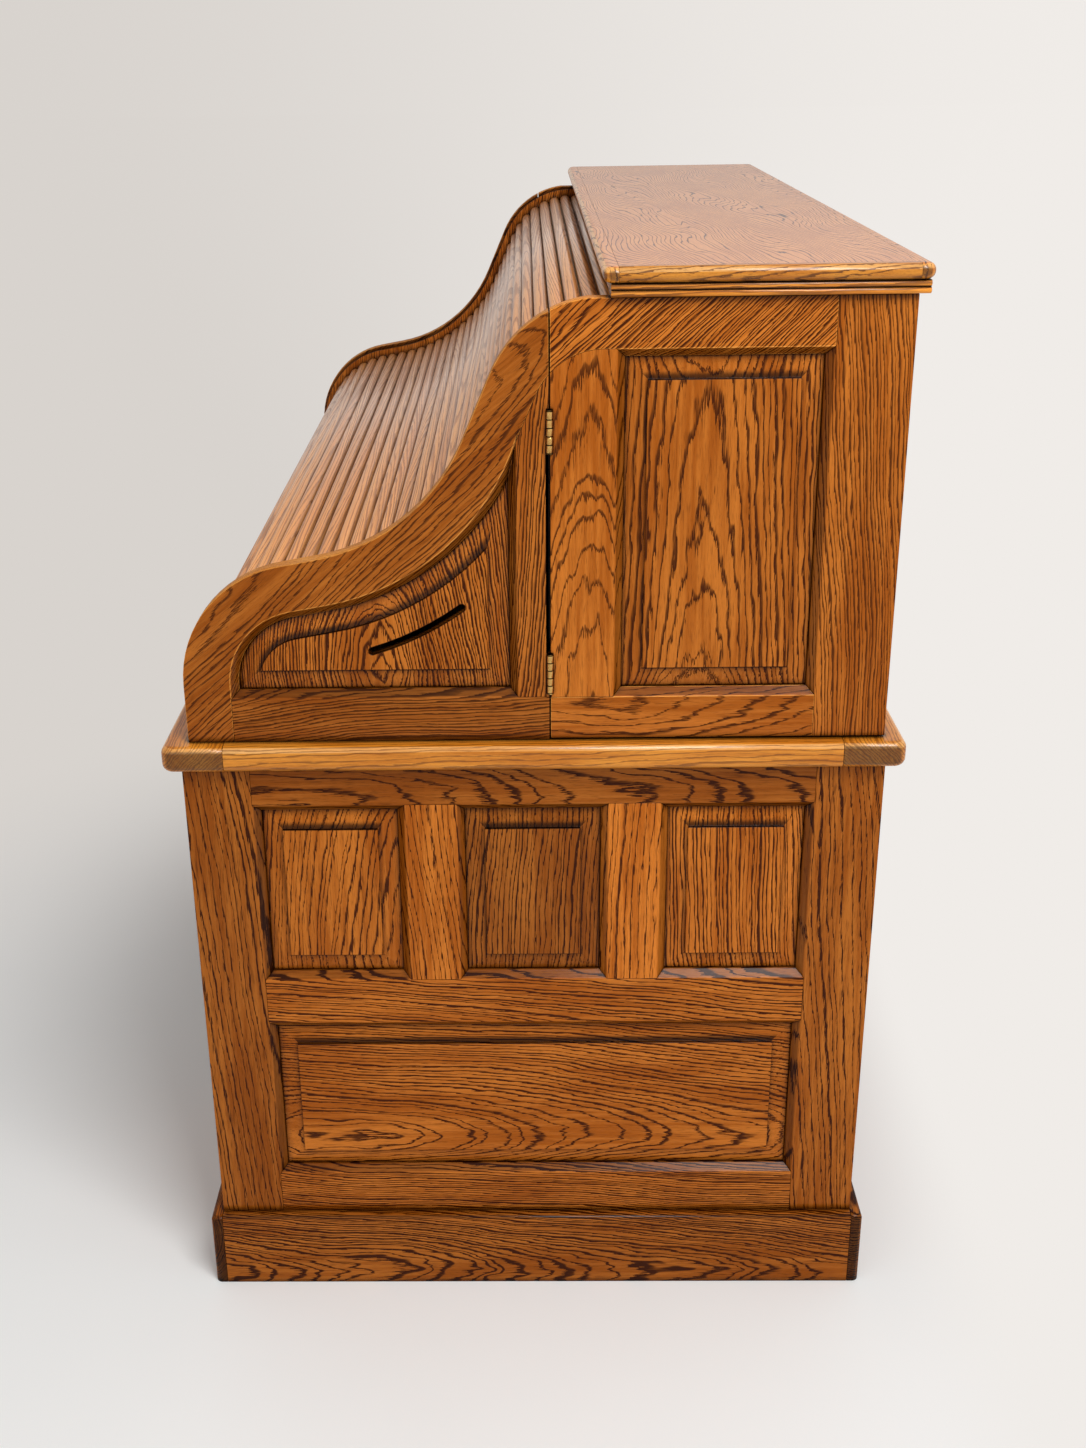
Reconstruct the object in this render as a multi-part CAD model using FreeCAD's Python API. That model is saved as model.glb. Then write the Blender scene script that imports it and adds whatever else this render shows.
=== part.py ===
import FreeCAD, Part
import math
import os

# Oak roll-top desk, in millimetres. The origin is on the floor under the middle of the base.
# +X is the user's right, -Y is the front and +Z is up.

# Base
BASE_WIDTH = 1484.0
BASE_DEPTH = 810.0
PLINTH_HEIGHT = 104.0
PLINTH_THICKNESS = 15.0
PLINTH_ROUND = 8.0

# Worktop
WORKTOP_TOP = 762.0
WORKTOP_THICKNESS = 31.0
WORKTOP_OVERHANG = 20.0
WORKTOP_STRIP = 72.0
WORKTOP_ROUND = 9.0
WORKTOP_CORNER = 14.0

# Frames and raised panels; depths are measured inwards from a frame's outer face
FRAME_THICKNESS = 22.0
BEVEL = 9.0
PANEL_MARGIN = 24.0
PANEL_FIELD_DEPTH = 3.0
PANEL_SLOPE_TOP = 7.0
PANEL_SLOPE_FOOT = 12.0
TONGUE_DEPTH = 13.0
PANEL_BACK_DEPTH = 18.0
PANEL_TONGUE = 6.0
PANEL_FIT = 0.3
TONGUE_ROOM = 1.0
GLUE_LINE = 0.2

# Base ends and back
END_STILE = 78.0
END_MULLION = 60.0
END_UPPER_PANELS = 3
END_TOP_RAIL = 50.0
END_MID_RAIL = 60.0
END_UPPER_OPENING = 234.0
END_BOTTOM_RAIL = 110.0
END_BOTTOM_RAIL_TOP = 162.0
BACK_STILE = 60.0
BACK_PANELS = 4

# Pedestals and drawers
PEDESTAL_WIDTH = 420.0
INNER_SIDE = 20.0
RAIL_HEIGHT = 18.0
RAIL_DEPTH = 60.0
SMALL_DRAWER_OPENING = 140.0
CENTRE_DRAWER_OPENING = 90.0
CENTRE_FRONT_LIP = 14.0
DRAWER_FRONT = 20.0
DRAWER_DEPTH = 620.0
DRAWER_SIDE = 12.0
DRAWER_BOTTOM = 6.0
DRAWER_BOTTOM_RISE = 8.0
DRAWER_HEADROOM = 12.0
DRAWER_SIDE_GAP = 2.5
DRAWER_REVEAL = 1.5
RUNNER_WIDTH = 22.0
RUN_GAP = 0.3
KNOB_FOOT = 12.0
KNOB_FOOT_THICKNESS = 2.5
KNOB_NECK = 8.0
KNOB_NECK_END = 7.0
KNOB_RADIUS = 15.0
KNOB_EDGE = 10.0
KNOB_RIM = 2.5
KNOB_LENGTH = 18.5
PEDESTAL_KNOB_SPACING = 190.0
CENTRE_KNOB_SPACING = 320.0

# Gallery profile: a vertical foot, a round shoulder, a hollow, a steep run and a round brow
GALLERY_FRONT = 11.0
GALLERY_REAR = 4.0
GALLERY_UPRIGHT = 69.6
SHOULDER_RADIUS = 140.0
SHOULDER_ANGLE = 10.0
SHOULDER_RUN = 43.0
HOLLOW_RADIUS = 220.0
STEEP_ANGLE = 66.3
STEEP_RUN = 77.0
BROW_RADIUS = 131.0

# Gallery wings and doors
CURVED_RAIL = 53.0
WING_BOTTOM_RAIL = 52.0
WING_STILE = 35.0
HINGE_LINE = 426.0
HINGE_GAP = 1.4
HINGE_RELIEF = 3.0
SLOT_INSET = 118.0
SLOT_WIDTH = 9.0
SLOT_START_ANGLE = 16.5
SLOT_END_ANGLE = 35.7
DOOR_FRONT_STILE = 70.0
DOOR_REAR_STILE = 82.0
DOOR_BOTTOM_RAIL = 50.0
DOOR_FOOT_GAP = 1.5
DOOR_HEAD_GAP = 1.0
DOOR_BACK_GAP = 0.4

# Hinges and catches
HINGE_HEIGHT = 45.0
UPPER_HINGE_DROP = 139.0
LOWER_HINGE_RISE = 80.0
HINGE_PROUD = 1.5
KNUCKLES = 5
KNUCKLE_RADIUS = 3.4
KNUCKLE_GAP = 0.25
PIN_RADIUS = 1.8
PIN_FIT = 0.05
PIN_CAP = 1.2
LEAF_WIDTH = 20.0
LEAF_THICKNESS = 1.0
LEAF_GAP = 0.5
HARDWARE_FIT = 0.3
MAGNET_RADIUS = 5.0
MAGNET_LENGTH = 6.0
STRIKE_RADIUS = 6.0
STRIKE_THICKNESS = 1.5
CATCH_RISE = 246.0
CATCH_FROM_REAR = 54.0

# Top
TOP_THICKNESS = 17.0
TOP_NOSE = 2.0
TOP_SIDE_OVERHANG = 14.0
TOP_REAR_OVERHANG = 14.0
TOP_ROUND = 8.0
TOP_CORNER = 12.0
TOP_LIPPING = 16.0
BEAD_RADIUS = 3.5
BEADS = 2
MOULDING_WIDTH = 40.0
MOULDING_BACKING = 6.5
MOULDING_INSET = 8.0

# Tambour and its tracks; insets are measured square to the gallery's profile
TRACK_THICKNESS = 16.0
TRACK_INSET = 5.0
GROOVE_DEPTH = 9.0
GROOVE_PLAY = 0.6
SLAT_INSET = 15.0
SLAT_THICKNESS = 11.0
SLAT_WALL = 3.0
SLAT_PITCH = 19.0
SLAT_WIDTH = 18.2
SLAT_END_GAP = 1.5
SLAT_TONGUE_WIDTH = 10.0
SLAT_TONGUE_THICKNESS = 5.0
SLAT_TONGUE_END_GAP = 1.0
SECTION_COUNT = 7
SECTION_SLATS = 5
CANVAS_THICKNESS = 0.8
CANVAS_GAP = 0.5
CANVAS_MARGIN = 12.0
LIFT_RAIL_HEIGHT = 66.0
LIFT_RAIL_THICKNESS = 20.0
LIFT_RAIL_INSET = 12.0
LIFT_RAIL_FOOT = 0.3
LIFT_RAIL_ROUND = 6.0
LIFT_HANDLE_SPACING = 820.0
LIFT_HANDLE_RISE = 26.0
REAR_TURN_RADIUS = 72.0
REAR_TURN_GAP = 11.0
GROOVE_FOOT = 10.0
LETTER_WINDOW_MARGIN = 14.0

# Pigeonholes
CASE_DEPTH = 240.0
CASE_HEADROOM = 60.0
CASE_REAR_GAP = 23.0
CASE_BOARD = 12.0
CASE_BACK = 6.0
CASE_DIVIDER = 8.0
CASE_SHELF_RISE = 223.0
SIDE_BAY = 168.0
LOWER_BAYS = 4
UPPER_BAYS = 6

V = FreeCAD.Vector
HALF = BASE_WIDTH / 2
FRONT = -BASE_DEPTH / 2
REAR = BASE_DEPTH / 2
UNDER_WORKTOP = WORKTOP_TOP - WORKTOP_THICKNESS
END_MID_RAIL_TOP = UNDER_WORKTOP - END_TOP_RAIL - END_UPPER_OPENING
INSIDE = HALF - FRAME_THICKNESS
TRACK_OUTER = INSIDE - DOOR_BACK_GAP
TRACK_INNER = TRACK_OUTER - TRACK_THICKNESS
HINGE_Y = FRONT + HINGE_LINE
WING_REAR = HINGE_Y - HINGE_GAP / 2
DOOR_FRONT = HINGE_Y + HINGE_GAP / 2
GALLERY_BACK = REAR - GALLERY_REAR
shoulder = math.radians(SHOULDER_ANGLE)
steep = math.radians(STEEP_ANGLE)
rise = SHOULDER_RADIUS * math.cos(shoulder) + SHOULDER_RUN * math.sin(shoulder)
rise += HOLLOW_RADIUS * (math.cos(shoulder) - math.cos(steep))
rise += STEEP_RUN * math.sin(steep) + BROW_RADIUS * (1 - math.cos(steep))
GALLERY_TOP = WORKTOP_TOP + GALLERY_UPRIGHT + rise
UPPER_HINGE = GALLERY_TOP - UPPER_HINGE_DROP
LOWER_HINGE = WORKTOP_TOP + LOWER_HINGE_RISE
CATCH_HEIGHT = WORKTOP_TOP + CATCH_RISE
CASE_TOP = GALLERY_TOP - CASE_HEADROOM
CASE_SHELF = WORKTOP_TOP + CASE_SHELF_RISE
TOP_UNDERSIDE = GALLERY_TOP + 2 * BEADS * BEAD_RADIUS
PATH_INSET = SLAT_INSET + SLAT_THICKNESS
nodes = {}


def box(x0, x1, y0, y1, z0, z1):
    return Part.makeBox(x1 - x0, y1 - y0, z1 - z0, V(x0, y0, z0))


def prism(points, x0, x1):
    """Solid with a straight-sided outline in the YZ plane."""
    corners = [V(x0, y, z) for y, z in points]
    face = Part.Face(Part.makePolygon(corners + corners[:1]))
    return face.extrude(V(x1 - x0, 0, 0))


def cylinder(radius, length, start, direction):
    return Part.makeCylinder(radius, length, start, direction)


def fillet_where(shape, radius, test):
    """Round the edges whose bounding box passes the test."""
    return shape.makeFillet(radius, [edge for edge in shape.Edges if test(edge.BoundBox)])


def near(a, b):
    return abs(a - b) < 1e-6


def mirrored(shape):
    return shape.mirror(V(0, 0, 0), V(1, 0, 0))


def on_right(shape):
    """Move a shape built with its outer face at x = 0 to the right end of the desk."""
    moved = shape.copy()
    moved.translate(V(HALF, 0, 0))
    return moved


def on_back(shape, y):
    """Turn a shape built with its outer face at x = 0 so that this face looks to the rear."""
    turned = shape.copy()
    turned.rotate(V(0, 0, 0), V(0, 0, 1), 90)
    turned.translate(V(0, y, 0))
    return turned


def both_sides(shapes):
    return [on_right(shape) for shape in shapes] + [mirrored(on_right(shape)) for shape in shapes]


def single(shape):
    """The one solid of a boolean result."""
    return max(shape.Solids, key=lambda solid: solid.Volume)


# Framed walls. A mouth is an opening's outline on the outer face: (y0, y1, z0, z1).
def bevel_rims(frame):
    """Bevel the rim of every opening in the outer face."""
    faces = [face for face in frame.Faces if face.BoundBox.XMin > -1e-6]
    outer = max(faces, key=lambda face: face.Area)
    rims = [e for wire in outer.Wires if not wire.isSame(outer.OuterWire) for e in wire.Edges]
    return frame.makeChamfer(BEVEL, rims)


def shrunk(mouth, amount):
    y0, y1, z0, z1 = mouth
    return (y0 + amount, y1 - amount, z0 + amount, z1 - amount)


def tongue_groove(mouth):
    rim = shrunk(mouth, BEVEL - PANEL_TONGUE - TONGUE_ROOM)
    return box(-PANEL_BACK_DEPTH - PANEL_FIT, -TONGUE_DEPTH + PANEL_FIT, *rim)


def framed_wall(y0, y1, z0, z1, mouths):
    frame = box(-FRAME_THICKNESS, 0, y0, y1, z0, z1)
    for mouth in mouths:
        frame = frame.cut(box(-FRAME_THICKNESS, 0, *shrunk(mouth, BEVEL)))
    frame = bevel_rims(frame)
    for mouth in mouths:
        frame = frame.cut(tongue_groove(mouth))
    return frame


def member(frame, rect, mouths):
    """One board of a frame: its flat and, along each opening beside it, a mitred bevel."""
    y0, y1, z0, z1 = rect
    region = box(-FRAME_THICKNESS, 0, *rect)
    for a0, a1, b0, b1 in mouths:
        c0, c1, d0, d1 = shrunk((a0, a1, b0, b1), BEVEL)
        edges = []
        beside = b0 > z0 - 1e-6 and b1 < z1 + 1e-6
        above = a0 > y0 - 1e-6 and a1 < y1 + 1e-6
        if beside and near(a0, y1):
            edges.append([(a0, b0), (c0, d0), (c0, d1), (a0, b1)])
        if beside and near(a1, y0):
            edges.append([(a1, b0), (c1, d0), (c1, d1), (a1, b1)])
        if above and near(b0, z1):
            edges.append([(a0, b0), (c0, d0), (c1, d0), (a1, b0)])
        if above and near(b1, z0):
            edges.append([(a0, b1), (c0, d1), (c1, d1), (a1, b1)])
        for edge in edges:
            region = region.fuse(prism(edge, -FRAME_THICKNESS, 0))
    return single(frame.common(region))


def rectangle(rect, x):
    y0, y1, z0, z1 = rect
    corners = [V(x, y0, z0), V(x, y1, z0), V(x, y1, z1), V(x, y0, z1), V(x, y0, z0)]
    return Part.makePolygon(corners)


def raised_panel(mouth):
    """A panel with a tongue in the frame, a sloped margin and a raised field."""
    sight = shrunk(mouth, BEVEL + PANEL_FIT)
    field = shrunk(mouth, BEVEL + PANEL_MARGIN)
    tongue = shrunk(mouth, BEVEL - PANEL_TONGUE)
    rings = [rectangle(sight, -PANEL_SLOPE_FOOT), rectangle(field, -PANEL_SLOPE_TOP)]
    panel = Part.makeLoft(rings, True, True)
    panel = panel.fuse(box(-PANEL_BACK_DEPTH, -PANEL_SLOPE_FOOT, *sight))
    panel = panel.fuse(box(-PANEL_SLOPE_TOP, -PANEL_FIELD_DEPTH, *field))
    panel = panel.fuse(box(-PANEL_BACK_DEPTH, -TONGUE_DEPTH, *tongue))
    return single(panel.removeSplitter())


def rows_of(start, end, count, width):
    """Equal gaps between count - 1 dividers of one width, as (low, high) pairs."""
    gap = (end - start - (count - 1) * width) / count
    return [(start + i * (gap + width), start + i * (gap + width) + gap) for i in range(count)]


# Ends of the base
upper_bays = rows_of(FRONT + END_STILE, REAR - END_STILE, END_UPPER_PANELS, END_MULLION)
end_top = UNDER_WORKTOP - END_TOP_RAIL
end_mouths = [(a, b, END_MID_RAIL_TOP, end_top) for a, b in upper_bays]
lower_mouth = (FRONT + END_STILE, REAR - END_STILE, END_BOTTOM_RAIL_TOP, END_MID_RAIL_TOP - END_MID_RAIL)
end_mouths.append(lower_mouth)
end_frame = framed_wall(FRONT, REAR, 0, UNDER_WORKTOP, end_mouths)
end_stile_rects = [(FRONT, FRONT + END_STILE, 0, UNDER_WORKTOP)]
for left, right in zip(upper_bays, upper_bays[1:]):
    end_stile_rects.append((left[1], right[0], END_MID_RAIL_TOP, end_top))
end_stile_rects.append((REAR - END_STILE, REAR, 0, UNDER_WORKTOP))
end_rail_levels = [
    (end_top, UNDER_WORKTOP),
    (END_MID_RAIL_TOP - END_MID_RAIL, END_MID_RAIL_TOP),
    (END_BOTTOM_RAIL_TOP - END_BOTTOM_RAIL, END_BOTTOM_RAIL_TOP),
]
end_rail_rects = [(FRONT + END_STILE, REAR - END_STILE, low, high) for low, high in end_rail_levels]
nodes["end_stiles"] = both_sides([member(end_frame, rect, end_mouths) for rect in end_stile_rects])
nodes["end_rails"] = both_sides([member(end_frame, rect, end_mouths) for rect in end_rail_rects])
nodes["end_panels"] = both_sides([raised_panel(mouth) for mouth in end_mouths])


# Back walls, built about the middle of the desk
def back_wall(half_width, bottom, low, high, top, y):
    """Stiles, rails and panels of a wall that looks to the rear."""
    start = -half_width + BACK_STILE
    bays = rows_of(start, half_width - BACK_STILE, BACK_PANELS, BACK_STILE)
    mouths = [(a, b, low, high) for a, b in bays]
    frame = framed_wall(-half_width, half_width, bottom, top, mouths)
    stile_rects = [(-half_width, start, bottom, top)]
    for left, right in zip(bays, bays[1:]):
        stile_rects.append((left[1], right[0], low, high))
    stile_rects.append((half_width - BACK_STILE, half_width, bottom, top))
    rail_rects = [(start, -start, bottom, low), (start, -start, high, top)]
    stiles = [on_back(member(frame, rect, mouths), y) for rect in stile_rects]
    rails = [on_back(member(frame, rect, mouths), y) for rect in rail_rects]
    panels = [on_back(raised_panel(mouth), y) for mouth in mouths]
    return stiles, rails, panels


base_back = back_wall(INSIDE - GLUE_LINE, 0, END_BOTTOM_RAIL_TOP, end_top, UNDER_WORKTOP, REAR)
nodes["back_stiles"], nodes["back_rails"], nodes["back_panels"] = base_back
gallery_rail_top = WORKTOP_TOP + WING_BOTTOM_RAIL
gallery_back = back_wall(
    TRACK_INNER - GLUE_LINE, WORKTOP_TOP, gallery_rail_top,
    GALLERY_TOP - CURVED_RAIL, GALLERY_TOP, GALLERY_BACK
)
nodes["gallery_back_stiles"], nodes["gallery_back_rails"], nodes["gallery_back_panels"] = gallery_back

# Plinth
KNEE = HALF - PEDESTAL_WIDTH
PLINTH_OUT = HALF + PLINTH_THICKNESS
back_inside = REAR - FRAME_THICKNESS - GLUE_LINE


def plinth_round(bound):
    """Top edge on the outside."""
    return near(bound.ZMin, PLINTH_HEIGHT) and near(bound.XMin, PLINTH_OUT)


side_plinth = box(HALF, PLINTH_OUT, FRONT + GLUE_LINE, REAR - GLUE_LINE, 0, PLINTH_HEIGHT)
side_plinth = fillet_where(side_plinth, PLINTH_ROUND, plinth_round)
knee_plinth = box(KNEE - PLINTH_THICKNESS, KNEE, FRONT + GLUE_LINE, back_inside, 0, PLINTH_HEIGHT)


def cross_plinth(x0, x1):
    """Board along X behind the base: its top and its end corners are rounded on the outside."""
    out_y = REAR + PLINTH_THICKNESS
    shape = box(x0, x1, REAR, out_y, 0, PLINTH_HEIGHT)
    shape = fillet_where(shape, PLINTH_ROUND, lambda b: b.ZLength > 1 and near(b.YMin, out_y))
    return fillet_where(shape, PLINTH_ROUND, lambda b: near(b.ZMin, PLINTH_HEIGHT) and not near(b.YMax, REAR))


front_plinth = cross_plinth(KNEE - PLINTH_THICKNESS, PLINTH_OUT).mirror(V(0, 0, 0), V(0, 1, 0))
rear_plinth = cross_plinth(-PLINTH_OUT, PLINTH_OUT)
plinth_pair = [side_plinth, knee_plinth, front_plinth]
nodes["plinth_boards"] = plinth_pair + [mirrored(shape) for shape in plinth_pair] + [rear_plinth]

# Pedestals
inner_side = box(KNEE, KNEE + INNER_SIDE, FRONT, back_inside, 0, UNDER_WORKTOP)
nodes["inner_sides"] = [inner_side, mirrored(inner_side)]
bay_left = KNEE + INNER_SIDE
bay_right = INSIDE
rail_tops = [UNDER_WORKTOP]
for opening in (SMALL_DRAWER_OPENING, SMALL_DRAWER_OPENING):
    rail_tops.append(rail_tops[-1] - RAIL_HEIGHT - opening)
rail_tops.append(PLINTH_HEIGHT + RAIL_HEIGHT)
rail_back = FRONT + RAIL_DEPTH
rails = []
for top in rail_tops:
    rails.append(box(bay_left + GLUE_LINE, bay_right - GLUE_LINE, FRONT, rail_back, top - RAIL_HEIGHT, top))
knee_half = KNEE - GLUE_LINE
knee_rail = box(-knee_half, knee_half, FRONT, rail_back, UNDER_WORKTOP - RAIL_HEIGHT, UNDER_WORKTOP)
nodes["front_rails"] = rails + [mirrored(rail) for rail in rails] + [knee_rail]

runner_start = rail_back + GLUE_LINE
runners = []
for top in rail_tops[1:]:
    for x0 in (bay_left, bay_right - RUNNER_WIDTH):
        runners.append(box(x0, x0 + RUNNER_WIDTH, runner_start, back_inside, top - RAIL_HEIGHT, top))
centre_floor = UNDER_WORKTOP - RAIL_HEIGHT - CENTRE_DRAWER_OPENING
centre_start = FRONT + DRAWER_FRONT + DRAWER_REVEAL
centre_runner = box(
    KNEE - RUNNER_WIDTH, KNEE, centre_start, back_inside, centre_floor - RAIL_HEIGHT, centre_floor
)
runners.append(centre_runner)
nodes["drawer_runners"] = runners + [mirrored(runner) for runner in runners]


def knob(x, z, y):
    """Turned oak knob with a domed face, its foot on the plane y."""
    dome = KNOB_LENGTH - KNOB_EDGE - KNOB_RIM
    ball = (KNOB_RADIUS ** 2 + dome ** 2) / (2 * dome)
    half = math.asin(KNOB_RADIUS / ball) / 2
    outline = [
        (0, 0), (KNOB_FOOT, 0), (KNOB_FOOT, KNOB_FOOT_THICKNESS), (KNOB_NECK, KNOB_FOOT_THICKNESS),
        (KNOB_NECK, KNOB_NECK_END), (KNOB_RADIUS, KNOB_EDGE), (KNOB_RADIUS, KNOB_EDGE + KNOB_RIM),
        (ball * math.sin(half), KNOB_LENGTH - ball + ball * math.cos(half)), (0, KNOB_LENGTH),
    ]
    points = [V(x + radius, y - depth, z) for radius, depth in outline]
    edges = [Part.makeLine(a, b) for a, b in zip(points, points[1:-2])]
    edges.append(Part.Arc(*points[-3:]).toShape())
    edges.append(Part.makeLine(points[-1], points[0]))
    return Part.Face(Part.Wire(edges)).revolve(V(x, y, z), V(0, 1, 0), 360).Solids[0]


def drawer(x0, x1, floor, ceiling, front_low, knob_places):
    """Front with its knobs, and box, of a drawer in the opening between x0 and x1."""
    left = x0 + DRAWER_REVEAL
    right = x1 - DRAWER_REVEAL
    board_back = FRONT + DRAWER_FRONT
    front = box(left, right, FRONT, board_back, front_low, ceiling - DRAWER_REVEAL)
    level = (front_low + ceiling - DRAWER_REVEAL) / 2
    handles = [knob(x, level, FRONT - GLUE_LINE) for x in knob_places]
    a = x0 + DRAWER_SIDE_GAP
    b = x1 - DRAWER_SIDE_GAP
    start = board_back + GLUE_LINE
    end = start + DRAWER_DEPTH
    low = floor + RUN_GAP
    high = ceiling - DRAWER_HEADROOM
    inner_a = a + DRAWER_SIDE + GLUE_LINE
    inner_b = b - DRAWER_SIDE - GLUE_LINE
    tray = low + DRAWER_BOTTOM_RISE
    pieces = [
        box(a, a + DRAWER_SIDE, start, end, low, high),
        box(b - DRAWER_SIDE, b, start, end, low, high),
        box(inner_a, inner_b, end - DRAWER_SIDE, end, low, high),
        box(inner_a, inner_b, start, end - DRAWER_SIDE - GLUE_LINE, tray, tray + DRAWER_BOTTOM),
    ]
    return [front] + handles, pieces


middle = (bay_left + bay_right) / 2
pedestal_knobs = [middle - PEDESTAL_KNOB_SPACING / 2, middle + PEDESTAL_KNOB_SPACING / 2]
names = ("top", "middle", "file")
for i, name in enumerate(names):
    floor = rail_tops[i + 1]
    ceiling = rail_tops[i] - RAIL_HEIGHT
    front, tray = drawer(bay_left, bay_right, floor, ceiling, floor + DRAWER_REVEAL, pedestal_knobs)
    nodes["right_" + name + "_drawer_front"] = front
    nodes["right_" + name + "_drawer_box"] = tray
    nodes["left_" + name + "_drawer_front"] = [mirrored(shape) for shape in front]
    nodes["left_" + name + "_drawer_box"] = [mirrored(shape) for shape in tray]
centre_knobs = [-CENTRE_KNOB_SPACING / 2, CENTRE_KNOB_SPACING / 2]
centre_ceiling = UNDER_WORKTOP - RAIL_HEIGHT
front, tray = drawer(-KNEE, KNEE, centre_floor, centre_ceiling, centre_floor - CENTRE_FRONT_LIP, centre_knobs)
nodes["centre_drawer_front"] = front
nodes["centre_drawer_box"] = tray

# Worktop
top_x = HALF + WORKTOP_OVERHANG
top_y = REAR + WORKTOP_OVERHANG
strip_y = top_y - WORKTOP_STRIP
strip_x = top_x - WORKTOP_STRIP


def cross_strip():
    """Rear strip; the front one is its mirror image."""
    shape = box(-top_x, top_x, strip_y, top_y, UNDER_WORKTOP, WORKTOP_TOP)
    shape = fillet_where(shape, WORKTOP_CORNER, lambda b: b.ZLength > 1 and b.YMin > strip_y + 1)
    shape = fillet_where(shape, WORKTOP_ROUND, lambda b: b.ZLength < 1e-3 and b.YMax > strip_y + 1)
    return shape


rear_strip = cross_strip()
front_strip = rear_strip.mirror(V(0, 0, 0), V(0, 1, 0))
side_strip = box(strip_x, top_x, -strip_y + GLUE_LINE, strip_y - GLUE_LINE, UNDER_WORKTOP, WORKTOP_TOP)
side_strip = fillet_where(side_strip, WORKTOP_ROUND, lambda b: near(b.XMin, top_x) and b.YLength > 1)
nodes["worktop_strips"] = [front_strip, rear_strip, side_strip, mirrored(side_strip)]
field_x = strip_x - GLUE_LINE
field_y = strip_y - GLUE_LINE
nodes["worktop_field"] = [box(-field_x, field_x, -field_y, field_y, UNDER_WORKTOP, WORKTOP_TOP)]

# Gallery profile
foot_y = FRONT + GALLERY_FRONT
shoulder_centre = (foot_y + SHOULDER_RADIUS, WORKTOP_TOP + GALLERY_UPRIGHT)
hollow_y = shoulder_centre[0] - SHOULDER_RADIUS * math.sin(shoulder) + SHOULDER_RUN * math.cos(shoulder)
hollow_z = shoulder_centre[1] + SHOULDER_RADIUS * math.cos(shoulder) + SHOULDER_RUN * math.sin(shoulder)
hollow_centre = (
    hollow_y - HOLLOW_RADIUS * math.sin(shoulder),
    hollow_z + HOLLOW_RADIUS * math.cos(shoulder),
)
brow_y = hollow_centre[0] + HOLLOW_RADIUS * math.sin(steep) + STEEP_RUN * math.cos(steep)
brow_z = hollow_centre[1] - HOLLOW_RADIUS * math.cos(steep) + STEEP_RUN * math.sin(steep)
brow_centre = (brow_y + BROW_RADIUS * math.sin(steep), brow_z - BROW_RADIUS * math.cos(steep))


def on_shoulder(angle, inset):
    r = SHOULDER_RADIUS - inset
    return (shoulder_centre[0] - r * math.sin(angle), shoulder_centre[1] + r * math.cos(angle))


def on_hollow(angle, inset):
    r = HOLLOW_RADIUS + inset
    return (hollow_centre[0] + r * math.sin(angle), hollow_centre[1] - r * math.cos(angle))


def on_brow(angle, inset):
    r = BROW_RADIUS - inset
    return (brow_centre[0] - r * math.sin(angle), brow_centre[1] + r * math.cos(angle))


def line(a, b):
    return Part.makeLine(V(0, *a), V(0, *b))


def arc(place, start, end, inset):
    """Arc of one of the profile's circles between two slopes, given in radians."""
    a = place(start, inset)
    middle = place((start + end) / 2, inset)
    b = place(end, inset)
    return Part.Arc(V(0, *a), V(0, *middle), V(0, *b)).toShape()


def profile_edges(inset, low, rear):
    """Edges of the profile set in by an inset, from the height low to the depth rear."""
    upright = math.pi / 2
    return [
        line((foot_y + inset, low), on_shoulder(upright, inset)),
        arc(on_shoulder, upright, shoulder, inset),
        line(on_shoulder(shoulder, inset), on_hollow(shoulder, inset)),
        arc(on_hollow, shoulder, steep, inset),
        line(on_hollow(steep, inset), on_brow(steep, inset)),
        arc(on_brow, steep, 0, inset),
        line(on_brow(0, inset), (rear, GALLERY_TOP - inset)),
    ]


def extruded(edges, x0, x1):
    face = Part.Face(Part.Wire(edges))
    face.translate(V(x0, 0, 0))
    return face.extrude(V(x1 - x0, 0, 0))


def under_profile(inset, y0, y1, low, x0, x1):
    """Everything under the inset profile between two depths, above the height low."""
    far = GALLERY_BACK + FRAME_THICKNESS
    base = low - FRAME_THICKNESS
    edges = profile_edges(inset, base, far)
    edges.append(line((far, GALLERY_TOP - inset), (far, base)))
    edges.append(line((far, base), (foot_y + inset, base)))
    return extruded(edges, x0, x1).common(box(x0, x1, y0, y1, low, GALLERY_TOP))


# Wings
wing_low = WORKTOP_TOP
sight_inset = CURVED_RAIL + BEVEL
sight_low = wing_low + WING_BOTTOM_RAIL + BEVEL
sight_rear = WING_REAR - WING_STILE - BEVEL
slab = under_profile(0, foot_y, WING_REAR, wing_low, -FRAME_THICKNESS, 0)
sight = under_profile(sight_inset, foot_y, sight_rear, sight_low, -FRAME_THICKNESS, 0)
wing_frame = bevel_rims(slab.cut(sight))
grown = PANEL_TONGUE + TONGUE_ROOM
wing_groove = under_profile(
    sight_inset - grown, foot_y, sight_rear + grown, sight_low - grown,
    -PANEL_BACK_DEPTH - PANEL_FIT, -TONGUE_DEPTH + PANEL_FIT
)
wing_frame = wing_frame.cut(wing_groove)
flat_low = wing_low + WING_BOTTOM_RAIL
flat_front = foot_y + CURVED_RAIL
flat_rear = WING_REAR - WING_STILE
bottom_outline = [
    (flat_front, wing_low), (WING_REAR, wing_low), (WING_REAR, flat_low), (flat_rear, flat_low),
    (sight_rear, sight_low), (flat_front + BEVEL, sight_low), (flat_front, flat_low),
]
bottom_region = prism(bottom_outline, -FRAME_THICKNESS, 0)


def hollow_height(inset, y):
    """Height of the inset hollow or steep run at a depth."""
    end_y, end_z = on_hollow(steep, inset)
    if y > end_y:
        return end_z + (y - end_y) * math.tan(steep)
    r = HOLLOW_RADIUS + inset
    return hollow_centre[1] - math.sqrt(r * r - (y - hollow_centre[0]) ** 2)


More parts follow.
